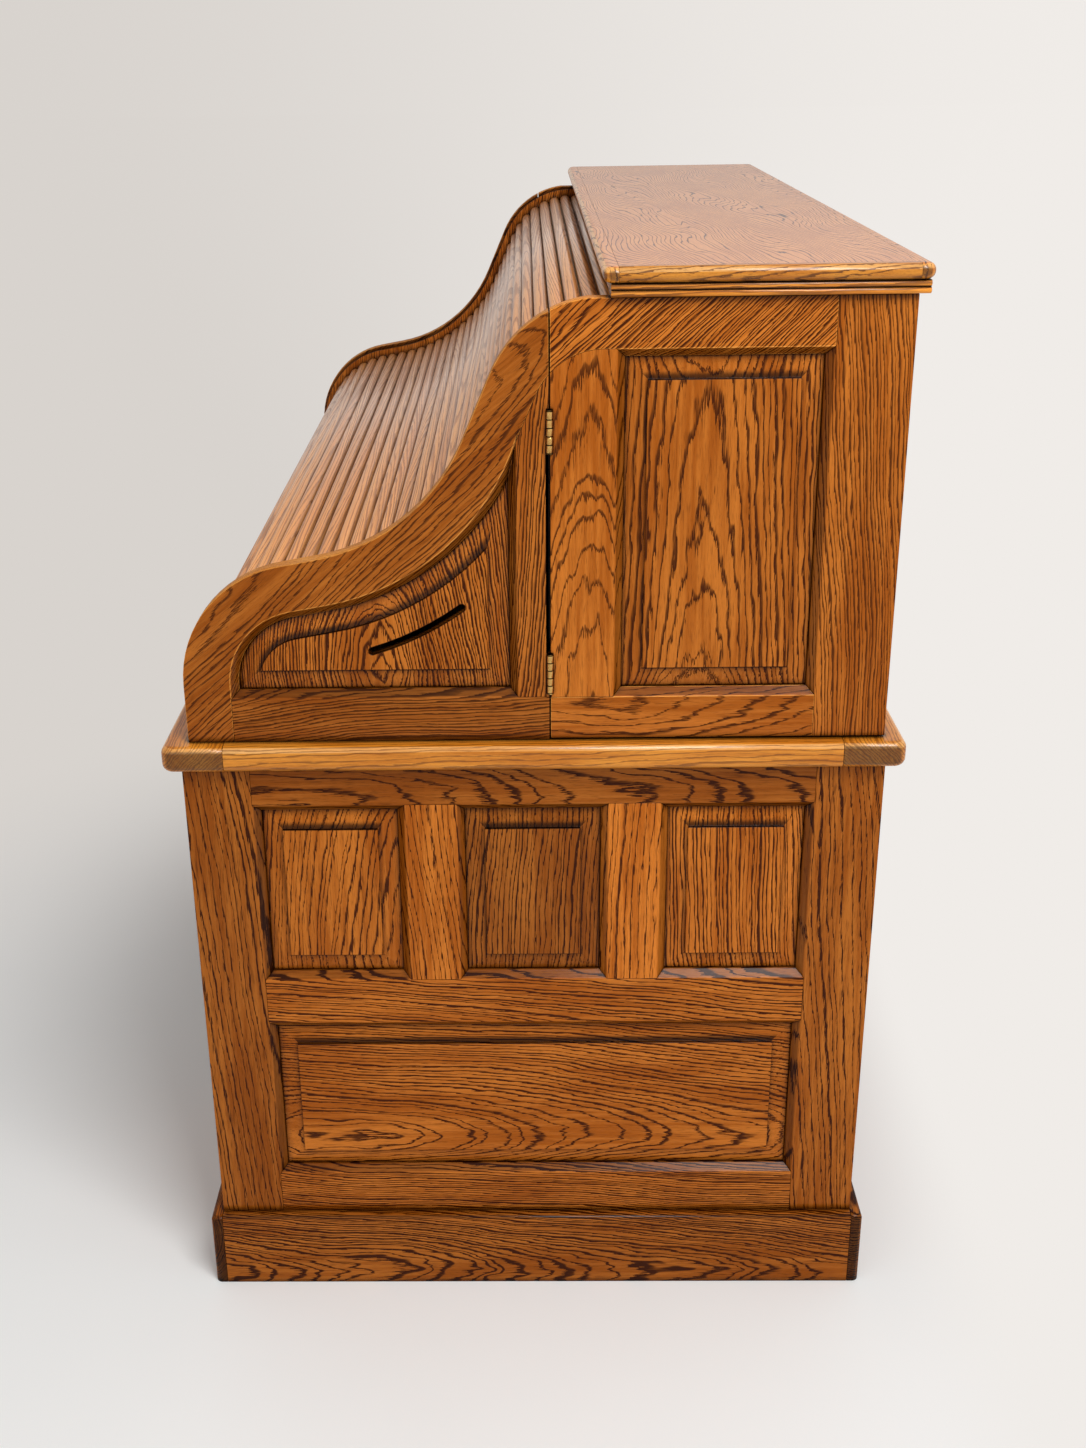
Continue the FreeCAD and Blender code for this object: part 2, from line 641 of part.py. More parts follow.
stile_outline = [
    (flat_rear, flat_low), (WING_REAR, flat_low), (WING_REAR, GALLERY_TOP), (flat_rear, GALLERY_TOP),
    (flat_rear, hollow_height(CURVED_RAIL, flat_rear)), (sight_rear, hollow_height(sight_inset, sight_rear)),
    (sight_rear, sight_low),
]
far = GALLERY_BACK + FRAME_THICKNESS
band_edges = profile_edges(-FRAME_THICKNESS, wing_low, far)
inner_edges = profile_edges(CURVED_RAIL, wing_low, far)
band_edges += inner_edges
band_edges.append(line((far, GALLERY_TOP + FRAME_THICKNESS), (far, GALLERY_TOP - CURVED_RAIL)))
band_edges.append(line((foot_y - FRAME_THICKNESS, wing_low), (foot_y + CURVED_RAIL, wing_low)))
band = extruded(Part.__sortEdges__(band_edges), -FRAME_THICKNESS, 0)
stile_region = prism(stile_outline, -FRAME_THICKNESS, 0).cut(band)
hinge_levels = (LOWER_HINGE, UPPER_HINGE)


def hinge_cuts(level, side):
    """Room for a hinge's knuckles and leaf; side is -1 on the wing and 1 on the door."""
    low = level - HINGE_HEIGHT / 2 - HARDWARE_FIT
    height = HINGE_HEIGHT + 2 * HARDWARE_FIT
    cap_room = PIN_CAP + GLUE_LINE
    foot = V(HINGE_PROUD, HINGE_Y, low - cap_room)
    barrel = cylinder(KNUCKLE_RADIUS + 2 * HARDWARE_FIT, height + 2 * cap_room, foot, V(0, 0, 1))
    near_y = HINGE_Y + side * (LEAF_GAP / 2 + LEAF_THICKNESS + HARDWARE_FIT)
    y0 = min(near_y, HINGE_Y)
    y1 = max(near_y, HINGE_Y)
    mortise = box(HINGE_PROUD - LEAF_WIDTH - HARDWARE_FIT, 1, y0, y1, low, low + height)
    return barrel.fuse(mortise)


wing_stile = wing_frame.common(stile_region)
wing_curved = wing_frame.cut(bottom_region).cut(stile_region)
relief_low = LOWER_HINGE + HINGE_HEIGHT / 2 + HINGE_RELIEF
relief_high = UPPER_HINGE - HINGE_HEIGHT / 2 - HINGE_RELIEF
relief = box(-FRAME_THICKNESS, 0, WING_REAR - HINGE_RELIEF, WING_REAR, relief_low, relief_high)
wing_stile = wing_stile.cut(relief)
for level in hinge_levels:
    wing_stile = wing_stile.cut(hinge_cuts(level, -1))
nodes["wing_curved_rails"] = both_sides([single(wing_curved)])
nodes["wing_bottom_rails"] = both_sides([single(wing_frame.common(bottom_region))])
nodes["wing_stiles"] = both_sides([single(wing_stile)])


def wing_loop(inset, rear, low, x):
    """Outline of the wing's panel at one inset, as six edges."""
    end = math.asin((rear - hollow_centre[0]) / (HOLLOW_RADIUS + inset))
    turn = math.pi / 2
    start = (foot_y + inset, low)
    if low < shoulder_centre[1]:
        first = line(start, on_shoulder(turn, inset))
    else:
        lowest = math.acos((low - shoulder_centre[1]) / (SHOULDER_RADIUS - inset))
        turn = lowest - (lowest - shoulder) / 4
        start = on_shoulder(lowest, inset)
        first = arc(on_shoulder, lowest, turn, inset)
    edges = [
        first,
        arc(on_shoulder, turn, shoulder, inset),
        line(on_shoulder(shoulder, inset), on_hollow(shoulder, inset)),
        arc(on_hollow, shoulder, end, inset),
        line(on_hollow(end, inset), (rear, low)),
        line((rear, low), start),
    ]
    wire = Part.Wire(edges)
    wire.translate(V(x, 0, 0))
    return wire


def wing_ring(inset, x):
    return wing_loop(sight_inset + inset, sight_rear - inset, sight_low + inset, x)


def ring_solid(inset, x0, x1):
    return Part.Face(wing_ring(inset, x0)).extrude(V(x1 - x0, 0, 0))


wing_rings = [wing_ring(PANEL_FIT, -PANEL_SLOPE_FOOT), wing_ring(PANEL_MARGIN, -PANEL_SLOPE_TOP)]
wing_panel = Part.makeLoft(wing_rings, True, True)
wing_panel = wing_panel.fuse(ring_solid(PANEL_FIT, -PANEL_BACK_DEPTH, -PANEL_SLOPE_FOOT))
wing_panel = wing_panel.fuse(ring_solid(PANEL_MARGIN, -PANEL_SLOPE_TOP, -PANEL_FIELD_DEPTH))
tongue_plate = under_profile(
    sight_inset - PANEL_TONGUE, foot_y, sight_rear + PANEL_TONGUE, sight_low - PANEL_TONGUE,
    -PANEL_BACK_DEPTH, -TONGUE_DEPTH
)
wing_panel = wing_panel.fuse(tongue_plate)


def slot_cut(width, x0, x1):
    """Curved slot with round ends, in step with the hollow of the profile."""
    start = math.radians(SLOT_START_ANGLE)
    end = math.radians(SLOT_END_ANGLE)
    near_side = SLOT_INSET - width / 2
    far_side = SLOT_INSET + width / 2
    edges = [
        arc(on_hollow, start, end, near_side),
        line(on_hollow(end, near_side), on_hollow(end, far_side)),
        arc(on_hollow, end, start, far_side),
        line(on_hollow(start, far_side), on_hollow(start, near_side)),
    ]
    shape = extruded(edges, x0, x1)
    for angle in (start, end):
        y, z = on_hollow(angle, SLOT_INSET)
        shape = shape.fuse(cylinder(width / 2, x1 - x0, V(x0, y, z), V(1, 0, 0)))
    return shape


wing_panel = single(wing_panel.cut(slot_cut(SLOT_WIDTH, -FRAME_THICKNESS, 0)))
nodes["wing_panels"] = both_sides([wing_panel])

# Doors
door_low = WORKTOP_TOP + DOOR_FOOT_GAP
door_high = GALLERY_TOP - DOOR_HEAD_GAP
door_mouth = (
    DOOR_FRONT + DOOR_FRONT_STILE, GALLERY_BACK - DOOR_REAR_STILE,
    door_low + DOOR_BOTTOM_RAIL, GALLERY_TOP - CURVED_RAIL
)
door_sight = shrunk(door_mouth, BEVEL)
door_frame = under_profile(0, DOOR_FRONT, GALLERY_BACK, door_low, -FRAME_THICKNESS, 0)
door_frame = door_frame.common(box(-FRAME_THICKNESS, 0, DOOR_FRONT, GALLERY_BACK, door_low, door_high))
door_frame = door_frame.cut(box(-FRAME_THICKNESS, 0, *door_sight))
door_frame = bevel_rims(door_frame).cut(tongue_groove(door_mouth))
y0, y1, z0, z1 = door_mouth
s0, s1, t0, t1 = door_sight
head_outline = [
    (DOOR_FRONT, z1), (y0, z1), (s0, t1), (s1, t1), (y1, z1), (y1, GALLERY_TOP), (DOOR_FRONT, GALLERY_TOP)
]
head_region = prism(head_outline, -FRAME_THICKNESS, 0)
head_region = head_region.fuse(band.common(box(-FRAME_THICKNESS, 0, DOOR_FRONT, y0, z0, GALLERY_TOP)))
foot_outline = [
    (DOOR_FRONT, door_low), (y1, door_low), (y1, z0), (s1, t0), (s0, t0), (y0, z0), (DOOR_FRONT, z0)
]
foot_region = prism(foot_outline, -FRAME_THICKNESS, 0)
door_head = single(door_frame.common(head_region))
door_foot = single(door_frame.common(foot_region))
door_stiles = sorted(door_frame.cut(head_region).cut(foot_region).Solids, key=lambda s: -s.Volume)[:2]
door_front_stile = min(door_stiles, key=lambda s: s.CenterOfMass.y)
door_rear_stile = max(door_stiles, key=lambda s: s.CenterOfMass.y)
for level in hinge_levels:
    door_front_stile = door_front_stile.cut(hinge_cuts(level, 1))
catch_y = GALLERY_BACK - CATCH_FROM_REAR
strike_depth = STRIKE_THICKNESS + HARDWARE_FIT
strike_x = -FRAME_THICKNESS
strike_foot = V(strike_x, catch_y, CATCH_HEIGHT)
strike_room = cylinder(STRIKE_RADIUS + HARDWARE_FIT, strike_depth, strike_foot, V(1, 0, 0))
door_rear_stile = door_rear_stile.cut(strike_room)
strike = cylinder(STRIKE_RADIUS, STRIKE_THICKNESS, strike_foot, V(1, 0, 0))


# Butt hinges: an odd number of knuckles, the first and last on the wing
def hinge_leaf(level, side):
    """Leaf with its share of the knuckles; side is -1 on the wing and 1 on the door."""
    low = level - HINGE_HEIGHT / 2
    step = HINGE_HEIGHT / KNUCKLES
    near_y = HINGE_Y + side * LEAF_GAP / 2
    far_y = near_y + side * LEAF_THICKNESS
    y0 = min(near_y, far_y)
    leaf = box(HINGE_PROUD - LEAF_WIDTH, HINGE_PROUD, y0, y0 + LEAF_THICKNESS, low, low + HINGE_HEIGHT)
    for i in range(KNUCKLES):
        start = low + i * step
        own = (i % 2 == 0) == (side < 0)
        if own:
            gap_low = 0 if i == 0 else KNUCKLE_GAP / 2
            gap_high = 0 if i == KNUCKLES - 1 else KNUCKLE_GAP / 2
            centre = V(HINGE_PROUD, HINGE_Y, start + gap_low)
            leaf = leaf.fuse(cylinder(KNUCKLE_RADIUS, step - gap_low - gap_high, centre, V(0, 0, 1)))
        else:
            centre = V(HINGE_PROUD, HINGE_Y, start - KNUCKLE_GAP / 2)
            room = cylinder(KNUCKLE_RADIUS + HARDWARE_FIT, step + KNUCKLE_GAP, centre, V(0, 0, 1))
            leaf = leaf.cut(room)
    bore = cylinder(PIN_RADIUS + PIN_FIT, HINGE_HEIGHT, V(HINGE_PROUD, HINGE_Y, low), V(0, 0, 1))
    return single(leaf.cut(bore))


def hinge_pin(level):
    """Pin with a flat cap at each end."""
    up = V(0, 0, 1)
    low = level - HINGE_HEIGHT / 2 - GLUE_LINE
    length = HINGE_HEIGHT + 2 * GLUE_LINE
    pin = cylinder(PIN_RADIUS, length, V(HINGE_PROUD, HINGE_Y, low), up)
    for start in (low - PIN_CAP, low + length):
        pin = pin.fuse(cylinder(KNUCKLE_RADIUS, PIN_CAP, V(HINGE_PROUD, HINGE_Y, start), up))
    return pin.removeSplitter()


nodes["hinge_fixed_leaves"] = both_sides([hinge_leaf(level, -1) for level in hinge_levels])
nodes["hinge_pins"] = both_sides([hinge_pin(level) for level in hinge_levels])
door_hardware = [hinge_leaf(level, 1) for level in hinge_levels] + [strike]
door_pieces = {
    "door_stiles": [single(door_front_stile), single(door_rear_stile)],
    "door_rails": [door_head, door_foot],
    "door_panel": [raised_panel(door_mouth)],
    "door_hardware": door_hardware,
}
for name, shapes in door_pieces.items():
    right = [on_right(shape) for shape in shapes]
    nodes["right_" + name] = right
    nodes["left_" + name] = [mirrored(shape) for shape in right]

# Track boards
turn_y = GALLERY_BACK - FRAME_THICKNESS - REAR_TURN_GAP - SLAT_THICKNESS - REAR_TURN_RADIUS
turn_z = GALLERY_TOP - PATH_INSET - REAR_TURN_RADIUS


def on_turn(angle, inset):
    r = REAR_TURN_RADIUS + PATH_INSET - inset
    return (turn_y - r * math.sin(angle), turn_z + r * math.cos(angle))


def track_edges(inset, low):
    """Edges of the tambour's way at an inset: the profile, the turn at the rear and the drop."""
    edges = profile_edges(inset, low, turn_y)
    edges.append(arc(on_turn, 0, -math.pi / 2, inset))
    end = on_turn(-math.pi / 2, inset)
    edges.append(line(end, (end[0], WORKTOP_TOP + GROOVE_FOOT)))
    return edges


groove_outer = PATH_INSET - SLAT_TONGUE_THICKNESS - GROOVE_PLAY
groove_inner = PATH_INSET + GROOVE_PLAY
groove_edges = track_edges(groove_outer, WORKTOP_TOP) + track_edges(groove_inner, WORKTOP_TOP)
groove_edges.append(line((foot_y + groove_outer, WORKTOP_TOP), (foot_y + groove_inner, WORKTOP_TOP)))
drop_outer = on_turn(-math.pi / 2, groove_outer)[0]
drop_inner = on_turn(-math.pi / 2, groove_inner)[0]
groove_end = WORKTOP_TOP + GROOVE_FOOT
groove_edges.append(line((drop_outer, groove_end), (drop_inner, groove_end)))
groove = extruded(Part.__sortEdges__(groove_edges), TRACK_INNER, TRACK_INNER + GROOVE_DEPTH)
track = under_profile(TRACK_INSET, foot_y, GALLERY_BACK, WORKTOP_TOP, TRACK_INNER, TRACK_OUTER)
seat_front = on_brow(0, 0)[0] + CURVED_RAIL
seat = box(TRACK_INNER, TRACK_OUTER, seat_front, GALLERY_BACK, turn_z, GALLERY_TOP)
track = track.fuse(seat).removeSplitter()
track = track.cut(groove)
slot_low_y, slot_low_z = on_hollow(math.radians(SLOT_START_ANGLE), SLOT_INSET)
slot_high_y, slot_high_z = on_hollow(math.radians(SLOT_END_ANGLE), SLOT_INSET)
margin = LETTER_WINDOW_MARGIN
letter_window = box(
    TRACK_INNER, TRACK_OUTER, slot_low_y - margin, slot_high_y + margin,
    slot_low_z - margin, slot_high_z + margin
)
track = track.cut(letter_window)
magnet_start = V(TRACK_OUTER - MAGNET_LENGTH, catch_y, CATCH_HEIGHT)
magnet = cylinder(MAGNET_RADIUS, MAGNET_LENGTH, magnet_start, V(1, 0, 0))
room_start = magnet_start - V(HARDWARE_FIT, 0, 0)
room_length = MAGNET_LENGTH + HARDWARE_FIT
magnet_room = cylinder(MAGNET_RADIUS + HARDWARE_FIT, room_length, room_start, V(1, 0, 0))
track = track.cut(magnet_room)
nodes["door_magnets"] = [magnet, mirrored(magnet)]
hole_front = slot_high_y + margin
parts_of_track = [
    (foot_y, slot_low_y - margin, WORKTOP_TOP, GALLERY_TOP),
    (slot_low_y - margin, hole_front, WORKTOP_TOP, slot_low_z - margin),
    (slot_low_y - margin, hole_front, slot_high_z + margin, GALLERY_TOP),
    (hole_front, s0, WORKTOP_TOP, GALLERY_TOP),
    (s0, s1, WORKTOP_TOP, t0),
    (s0, s1, t1, GALLERY_TOP),
    (s1, GALLERY_BACK, WORKTOP_TOP, GALLERY_TOP),
]
boards = []
for a, b, low, high in parts_of_track:
    piece = box(TRACK_INNER, TRACK_OUTER, a + GLUE_LINE / 2, b - GLUE_LINE / 2, low, high)
    boards.append(single(track.common(piece)))
nodes["right_track_boards"] = boards
nodes["left_track_boards"] = [mirrored(board) for board in boards]

# Top and its beaded moulding
top_rear = GALLERY_BACK + TOP_REAR_OVERHANG
top_front = on_brow(0, 0)[0] - TOP_NOSE
top_half = HALF + TOP_SIDE_OVERHANG
top_levels = (TOP_UNDERSIDE, TOP_UNDERSIDE + TOP_THICKNESS)
whole_top = box(-top_half, top_half, top_front, top_rear, *top_levels)
whole_top = fillet_where(whole_top, TOP_CORNER, lambda b: b.ZLength > 1)
whole_top = fillet_where(whole_top, TOP_ROUND, lambda b: b.ZLength < 1e-3)
lip_x = top_half - TOP_LIPPING
lip_front = top_front + TOP_LIPPING
lip_rear = top_rear - TOP_LIPPING


def top_piece(x0, x1, y0, y1):
    """The part of the rounded top inside a rectangle."""
    return single(whole_top.common(box(x0, x1, y0, y1, *top_levels)))


side_lip = top_piece(lip_x + GLUE_LINE, top_half, lip_front, lip_rear)
nodes["top_board"] = [
    top_piece(-lip_x, lip_x, lip_front, lip_rear),
    top_piece(-top_half, top_half, top_front, lip_front - GLUE_LINE),
    top_piece(-top_half, top_half, lip_rear + GLUE_LINE, top_rear),
    side_lip,
    mirrored(side_lip),
]


def beaded(length):
    """Moulding along +Y from the origin: a strip with beads on its +X side, its top at z = 0."""
    height = 2 * BEADS * BEAD_RADIUS
    strip = box(-MOULDING_WIDTH, MOULDING_BACKING, 0, length, -height, 0)
    for i in range(BEADS):
        centre = V(MOULDING_BACKING, 0, -(2 * i + 1) * BEAD_RADIUS)
        strip = strip.fuse(cylinder(BEAD_RADIUS, length, centre, V(0, 1, 0)))
    return single(strip.removeSplitter())


mould_front = top_front + MOULDING_INSET
mould_rear = GALLERY_BACK + MOULDING_BACKING
side_mould = beaded(mould_rear + BEAD_RADIUS - mould_front)
side_mould.translate(V(HALF, mould_front, TOP_UNDERSIDE))
cross_half = HALF - MOULDING_WIDTH - GLUE_LINE
rear_mould = beaded(2 * cross_half)
rear_mould.rotate(V(0, 0, 0), V(0, 0, 1), 90)
rear_mould.translate(V(cross_half, GALLERY_BACK, TOP_UNDERSIDE))
front_mould = beaded(2 * cross_half)
front_mould.rotate(V(0, 0, 0), V(0, 0, 1), -90)
front_mould.translate(V(-cross_half, mould_front + MOULDING_BACKING + BEAD_RADIUS, TOP_UNDERSIDE))
nodes["top_moulding"] = [side_mould, mirrored(side_mould), rear_mould, front_mould]

# Pigeonholes
case_half = TRACK_INNER - GLUE_LINE
case_rear = turn_y + REAR_TURN_RADIUS - CASE_REAR_GAP
case_front = case_rear - CASE_DEPTH
case_low = WORKTOP_TOP + CASE_BOARD
case_high = CASE_TOP - CASE_BOARD
bay_x = case_half - SIDE_BAY
shelf_back = case_rear - CASE_BACK - GLUE_LINE
wall_low = case_low + GLUE_LINE
wall_high = case_high - GLUE_LINE
upright = box(bay_x - CASE_BOARD, bay_x, case_front, shelf_back, wall_low, wall_high)
bay_front = box(bay_x + GLUE_LINE, case_half, case_front, case_front + CASE_BOARD, wall_low, wall_high)
shelf_half = bay_x - CASE_BOARD - GLUE_LINE
nodes["pigeonhole_case"] = [
    box(-case_half, case_half, case_front, case_rear, WORKTOP_TOP, case_low),
    box(-case_half, case_half, case_front, case_rear, case_high, CASE_TOP),
    box(-case_half, case_half, case_rear - CASE_BACK, case_rear, wall_low, wall_high),
    upright,
    mirrored(upright),
    bay_front,
    mirrored(bay_front),
    box(-shelf_half, shelf_half, case_front, shelf_back, CASE_SHELF, CASE_SHELF + CASE_BOARD),
]
dividers = []
rows = [
    (LOWER_BAYS, wall_low, CASE_SHELF - GLUE_LINE),
    (UPPER_BAYS, CASE_SHELF + CASE_BOARD + GLUE_LINE, wall_high),
]
for count, low, high in rows:
    bays = rows_of(-shelf_half, shelf_half, count, CASE_DIVIDER)
    for left, right in zip(bays, bays[1:]):
        dividers.append(box(left[1], right[0], case_front + GLUE_LINE, shelf_back, low, high))
nodes["pigeonhole_dividers"] = dividers

# Tambour
slat_half = TRACK_INNER - SLAT_END_GAP
foot_run = shoulder_centre[1] - WORKTOP_TOP - LIFT_RAIL_FOOT
quarter = math.pi / 2
shoulder_length = (SHOULDER_RADIUS - PATH_INSET) * (quarter - shoulder)
hollow_length = (HOLLOW_RADIUS + PATH_INSET) * (steep - shoulder)
brow_length = (BROW_RADIUS - PATH_INSET) * steep
turn_length = REAR_TURN_RADIUS * quarter
level_run = turn_y - on_brow(0, PATH_INSET)[0]


def along(point, angle, distance):
    return (point[0] + distance * math.cos(angle), point[1] + distance * math.sin(angle), angle)


def path(distance):
    """Point (y, z) and slope on the back face of the tambour, from the foot of the lift rail."""
    s = distance
    start = (foot_y + PATH_INSET, WORKTOP_TOP + LIFT_RAIL_FOOT)
    if s < foot_run:
        return along(start, quarter, s)
    s -= foot_run
    if s < shoulder_length:
        angle = quarter - s / (SHOULDER_RADIUS - PATH_INSET)
        return on_shoulder(angle, PATH_INSET) + (angle,)
    s -= shoulder_length
    if s < SHOULDER_RUN:
        return along(on_shoulder(shoulder, PATH_INSET), shoulder, s)
    s -= SHOULDER_RUN
    if s < hollow_length:
        angle = shoulder + s / (HOLLOW_RADIUS + PATH_INSET)
        return on_hollow(angle, PATH_INSET) + (angle,)
    s -= hollow_length
    if s < STEEP_RUN:
        return along(on_hollow(steep, PATH_INSET), steep, s)
    s -= STEEP_RUN
    if s < brow_length:
        angle = steep - s / (BROW_RADIUS - PATH_INSET)
        return on_brow(angle, PATH_INSET) + (angle,)
    s -= brow_length
    if s < level_run:
        return along(on_brow(0, PATH_INSET), 0, s)
    s -= level_run
    if s < turn_length:
        angle = -s / REAR_TURN_RADIUS
        return on_turn(angle, PATH_INSET) + (angle,)
    return along(on_turn(-quarter, PATH_INSET), -quarter, s - turn_length)


def slat():
    """Half-round slat with a tongue at each end; its back lies on z = 0 and it runs along X."""
    half = SLAT_WIDTH / 2
    left = V(-slat_half, -half, SLAT_WALL)
    right = V(-slat_half, half, SLAT_WALL)
    crown = Part.Arc(right, V(-slat_half, 0, SLAT_THICKNESS), left).toShape()
    corner_left = V(-slat_half, -half, 0)
    corner_right = V(-slat_half, half, 0)
    sides = [Part.makeLine(left, corner_left), Part.makeLine(corner_left, corner_right)]
    sides.append(Part.makeLine(corner_right, right))
    body = Part.Face(Part.Wire([crown] + sides)).extrude(V(2 * slat_half, 0, 0))
    reach = TRACK_INNER + GROOVE_DEPTH - SLAT_TONGUE_END_GAP
    tongue_half = SLAT_TONGUE_WIDTH / 2
    tongue = box(-reach, reach, -tongue_half, tongue_half, 0, SLAT_TONGUE_THICKNESS)
    return single(body.fuse(tongue).removeSplitter())


def laid(shape, distance):
    """Lay a shape built on z = 0 on the tambour's path."""
    y, z, angle = path(distance)
    moved = shape.copy()
    moved.rotate(V(0, 0, 0), V(1, 0, 0), math.degrees(angle))
    moved.translate(V(0, y, z))
    return moved


def canvas(start):
    """Canvas strip behind one section, with a fold at every joint between slats."""
    marks = [start + i * SLAT_PITCH for i in range(SECTION_SLATS + 1)]
    marks[0] += CANVAS_GAP / 2
    marks[-1] -= CANVAS_GAP / 2
    near_points = []
    far_points = []
    for mark in marks:
        y, z, angle = path(mark)
        for depth, points in ((CANVAS_GAP, near_points), (CANVAS_GAP + CANVAS_THICKNESS, far_points)):
            points.append((y + depth * math.sin(angle), z - depth * math.cos(angle)))
    half = slat_half - CANVAS_MARGIN
    return prism(near_points + far_points[::-1], -half, half)


one_slat = slat()
first_slat = LIFT_RAIL_HEIGHT + SLAT_PITCH - SLAT_WIDTH
section_starts = []
for section in range(SECTION_COUNT):
    start = first_slat + section * SECTION_SLATS * SLAT_PITCH
    section_starts.append(start)
    shapes = [laid(one_slat, start + (i + 0.5) * SLAT_PITCH) for i in range(SECTION_SLATS)]
    shapes.append(canvas(start))
    nodes["tambour_section_" + str(section + 1)] = shapes

rail_face = foot_y + LIFT_RAIL_INSET
rail_low = WORKTOP_TOP + LIFT_RAIL_FOOT
rail_rear = rail_face + LIFT_RAIL_THICKNESS
lift_rail = box(-slat_half, slat_half, rail_face, rail_rear, rail_low, rail_low + LIFT_RAIL_HEIGHT)
lift_rail = fillet_where(lift_rail, LIFT_RAIL_ROUND, lambda b: b.XLength > 1 and near(b.YMax, rail_face))
nodes["lift_rail"] = [lift_rail]
handle_z = rail_low + LIFT_HANDLE_RISE
handle_x = LIFT_HANDLE_SPACING / 2
nodes["lift_handles"] = [knob(x, handle_z, rail_face - GLUE_LINE) for x in (-handle_x, handle_x)]

os.makedirs("parts", exist_ok=True)
for name, shapes in nodes.items():
    shape = shapes[0] if len(shapes) == 1 else Part.makeCompound(shapes)
    shape.exportStep("parts/" + name + ".step")
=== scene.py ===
import math
import random

import bpy
from mathutils import Matrix, Vector

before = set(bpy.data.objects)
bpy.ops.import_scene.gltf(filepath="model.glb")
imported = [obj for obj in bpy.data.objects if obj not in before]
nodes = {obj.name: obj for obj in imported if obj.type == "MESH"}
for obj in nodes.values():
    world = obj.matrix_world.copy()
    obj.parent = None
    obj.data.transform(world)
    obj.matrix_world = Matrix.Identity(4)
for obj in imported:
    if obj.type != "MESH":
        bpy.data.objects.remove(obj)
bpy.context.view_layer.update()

scene = bpy.context.scene
scene.view_settings.view_transform = "Standard"
SEED = 1887
rng = random.Random(SEED)


def srgb(r, g, b):
    """A colour given in 0 to 255 screen values, in Blender's linear ones."""
    def linear(c):
        c /= 255
        return c / 12.92 if c <= 0.04045 else ((c + 0.055) / 1.055) ** 2.4
    return (linear(r), linear(g), linear(b), 1)


# Boards: every solid of a node is one board with its own grain. Lengths are in metres.

WELD = 0.00002
RAKE = math.radians(38)
RAKED = Vector((0, math.cos(RAKE), math.sin(RAKE)))
UPRIGHT = Vector((0, 0, 1))
# Nodes whose grain doesn't run along a board's longest side
GRAIN_OF = {
    "wing_curved_rails": RAKED,
    "wing_panels": UPRIGHT,
    "inner_sides": UPRIGHT,
}
# Door rails that start over this height are curved, and cut from raked boards
CURVED_RAIL_FOOT = 1.0
# A board counts as upright where its grain rises at least this much per length
UPRIGHT_RISE = 0.9

# How much lighter or darker a node's boards are than the usual oak, and how far one board may stray
TONE_OF = {
    "wing_bottom_rails": -1.2,
    "wing_curved_rails": -0.9,
    "plinth_boards": -0.75,
    "end_stiles": -0.55,
    "end_rails": 0.05,
    "end_panels": 0.15,
    "wing_stiles": -0.2,
    "top_moulding": 0.1,
    "worktop_strips": -0.15,
    "right_door_panel": -0.25,
    "left_door_panel": -0.25,
}
TONE_SPREAD = 0.3
LIPPING_TONE = -0.4
# Boards that differ from the rest of their node: the node, a point of the board as shares of the node's
# depth and height, and the added tone
ODD_BOARDS = (
    ("end_stiles", 0.05, 0.4, -0.6),
    ("end_stiles", 0.355, 0.77, 0.8),
    ("end_stiles", 0.645, 0.77, 1.6),
    ("end_panels", 0.5, 0.75, -1.0),
    # The end frames' top rail is darker in its own tone, and also as painted shadow under the worktop's
    # overhang
    ("end_rails", 0.5, 0.96, -1.2),
)

# Width of a year's growth: on every board, and on the upright or veneered boards of some nodes
OAK_RING = (0.0028, 0.0044)
RING_OF = {
    "top_board": (0.0054, 0.0058),
    "end_stiles": (0.0050, 0.0075),
    "end_panels": (0.0045, 0.0062),
    "right_door_panel": (0.0042, 0.0046),
    "left_door_panel": (0.0042, 0.0046),
}
# Strength of the dark lines, and how far one board may stray from it
BOLD_OF = {
    "worktop_strips": 0.65,
    "top_moulding": 0.65,
    "end_stiles": 1.3,
    "end_panels": 1.3,
    "end_rails": 1.25,
    "plinth_boards": 1.25,
}
BOLD_SPREAD = (0.85, 1.1)
# Strength of the waves that bend the rings
WAVE_OF = {
    "worktop_strips": 0.2,
    "top_moulding": 0.2,
    "right_door_panel": 0.45,
    "left_door_panel": 0.45,
    "top_board": -0.5,
}
# Scale of the figure along a board
STRETCH_OF = {"top_board": 2.5}
SLAT_STRETCH = 0.25

# Where a board's middle lies as seen from the heart of its tree: along the trunk, across the board as a
# share of its width, and through the board
HEART_ALONG = (5, 25)
HEART_ACROSS = (-0.4, 0.4)
HEART_THROUGH = (0.03, 0.09)
# Share of a node's boards that are sawn far to one side of the heart, with straight grain on the face
STRAIGHT_SHARE = 0.35
STRAIGHT_OF = {
    "end_stiles": 1.0,
    "end_panels": 0.9,
    "wing_stiles": 1.0,
    "worktop_strips": 1.0,
    "top_moulding": 1.0,
    "wing_bottom_rails": 1.0,
}
# How far to the side, as a share of the width and a margin
STRAIGHT_OFFSET = (0.5, 0.9)
STRAIGHT_MARGIN = 0.12
# Nodes with the heart behind the middle of the board, so that arches stand there
CENTRED = ("right_door_panel", "left_door_panel")
CENTRED_OFFSET = 0.08
# Nodes sawn with slanting rings, so that two sides show straight grain
SLANTED = ("worktop_strips", "top_moulding")
# Nodes whose wide boards share one sheet of veneer, where its middle lies, and how wide the lippings can be
VENEERED = ("top_board",)
VENEER_HEART = Vector((11, 0.7, 0.05))
LIPPING_WIDTH = 0.03


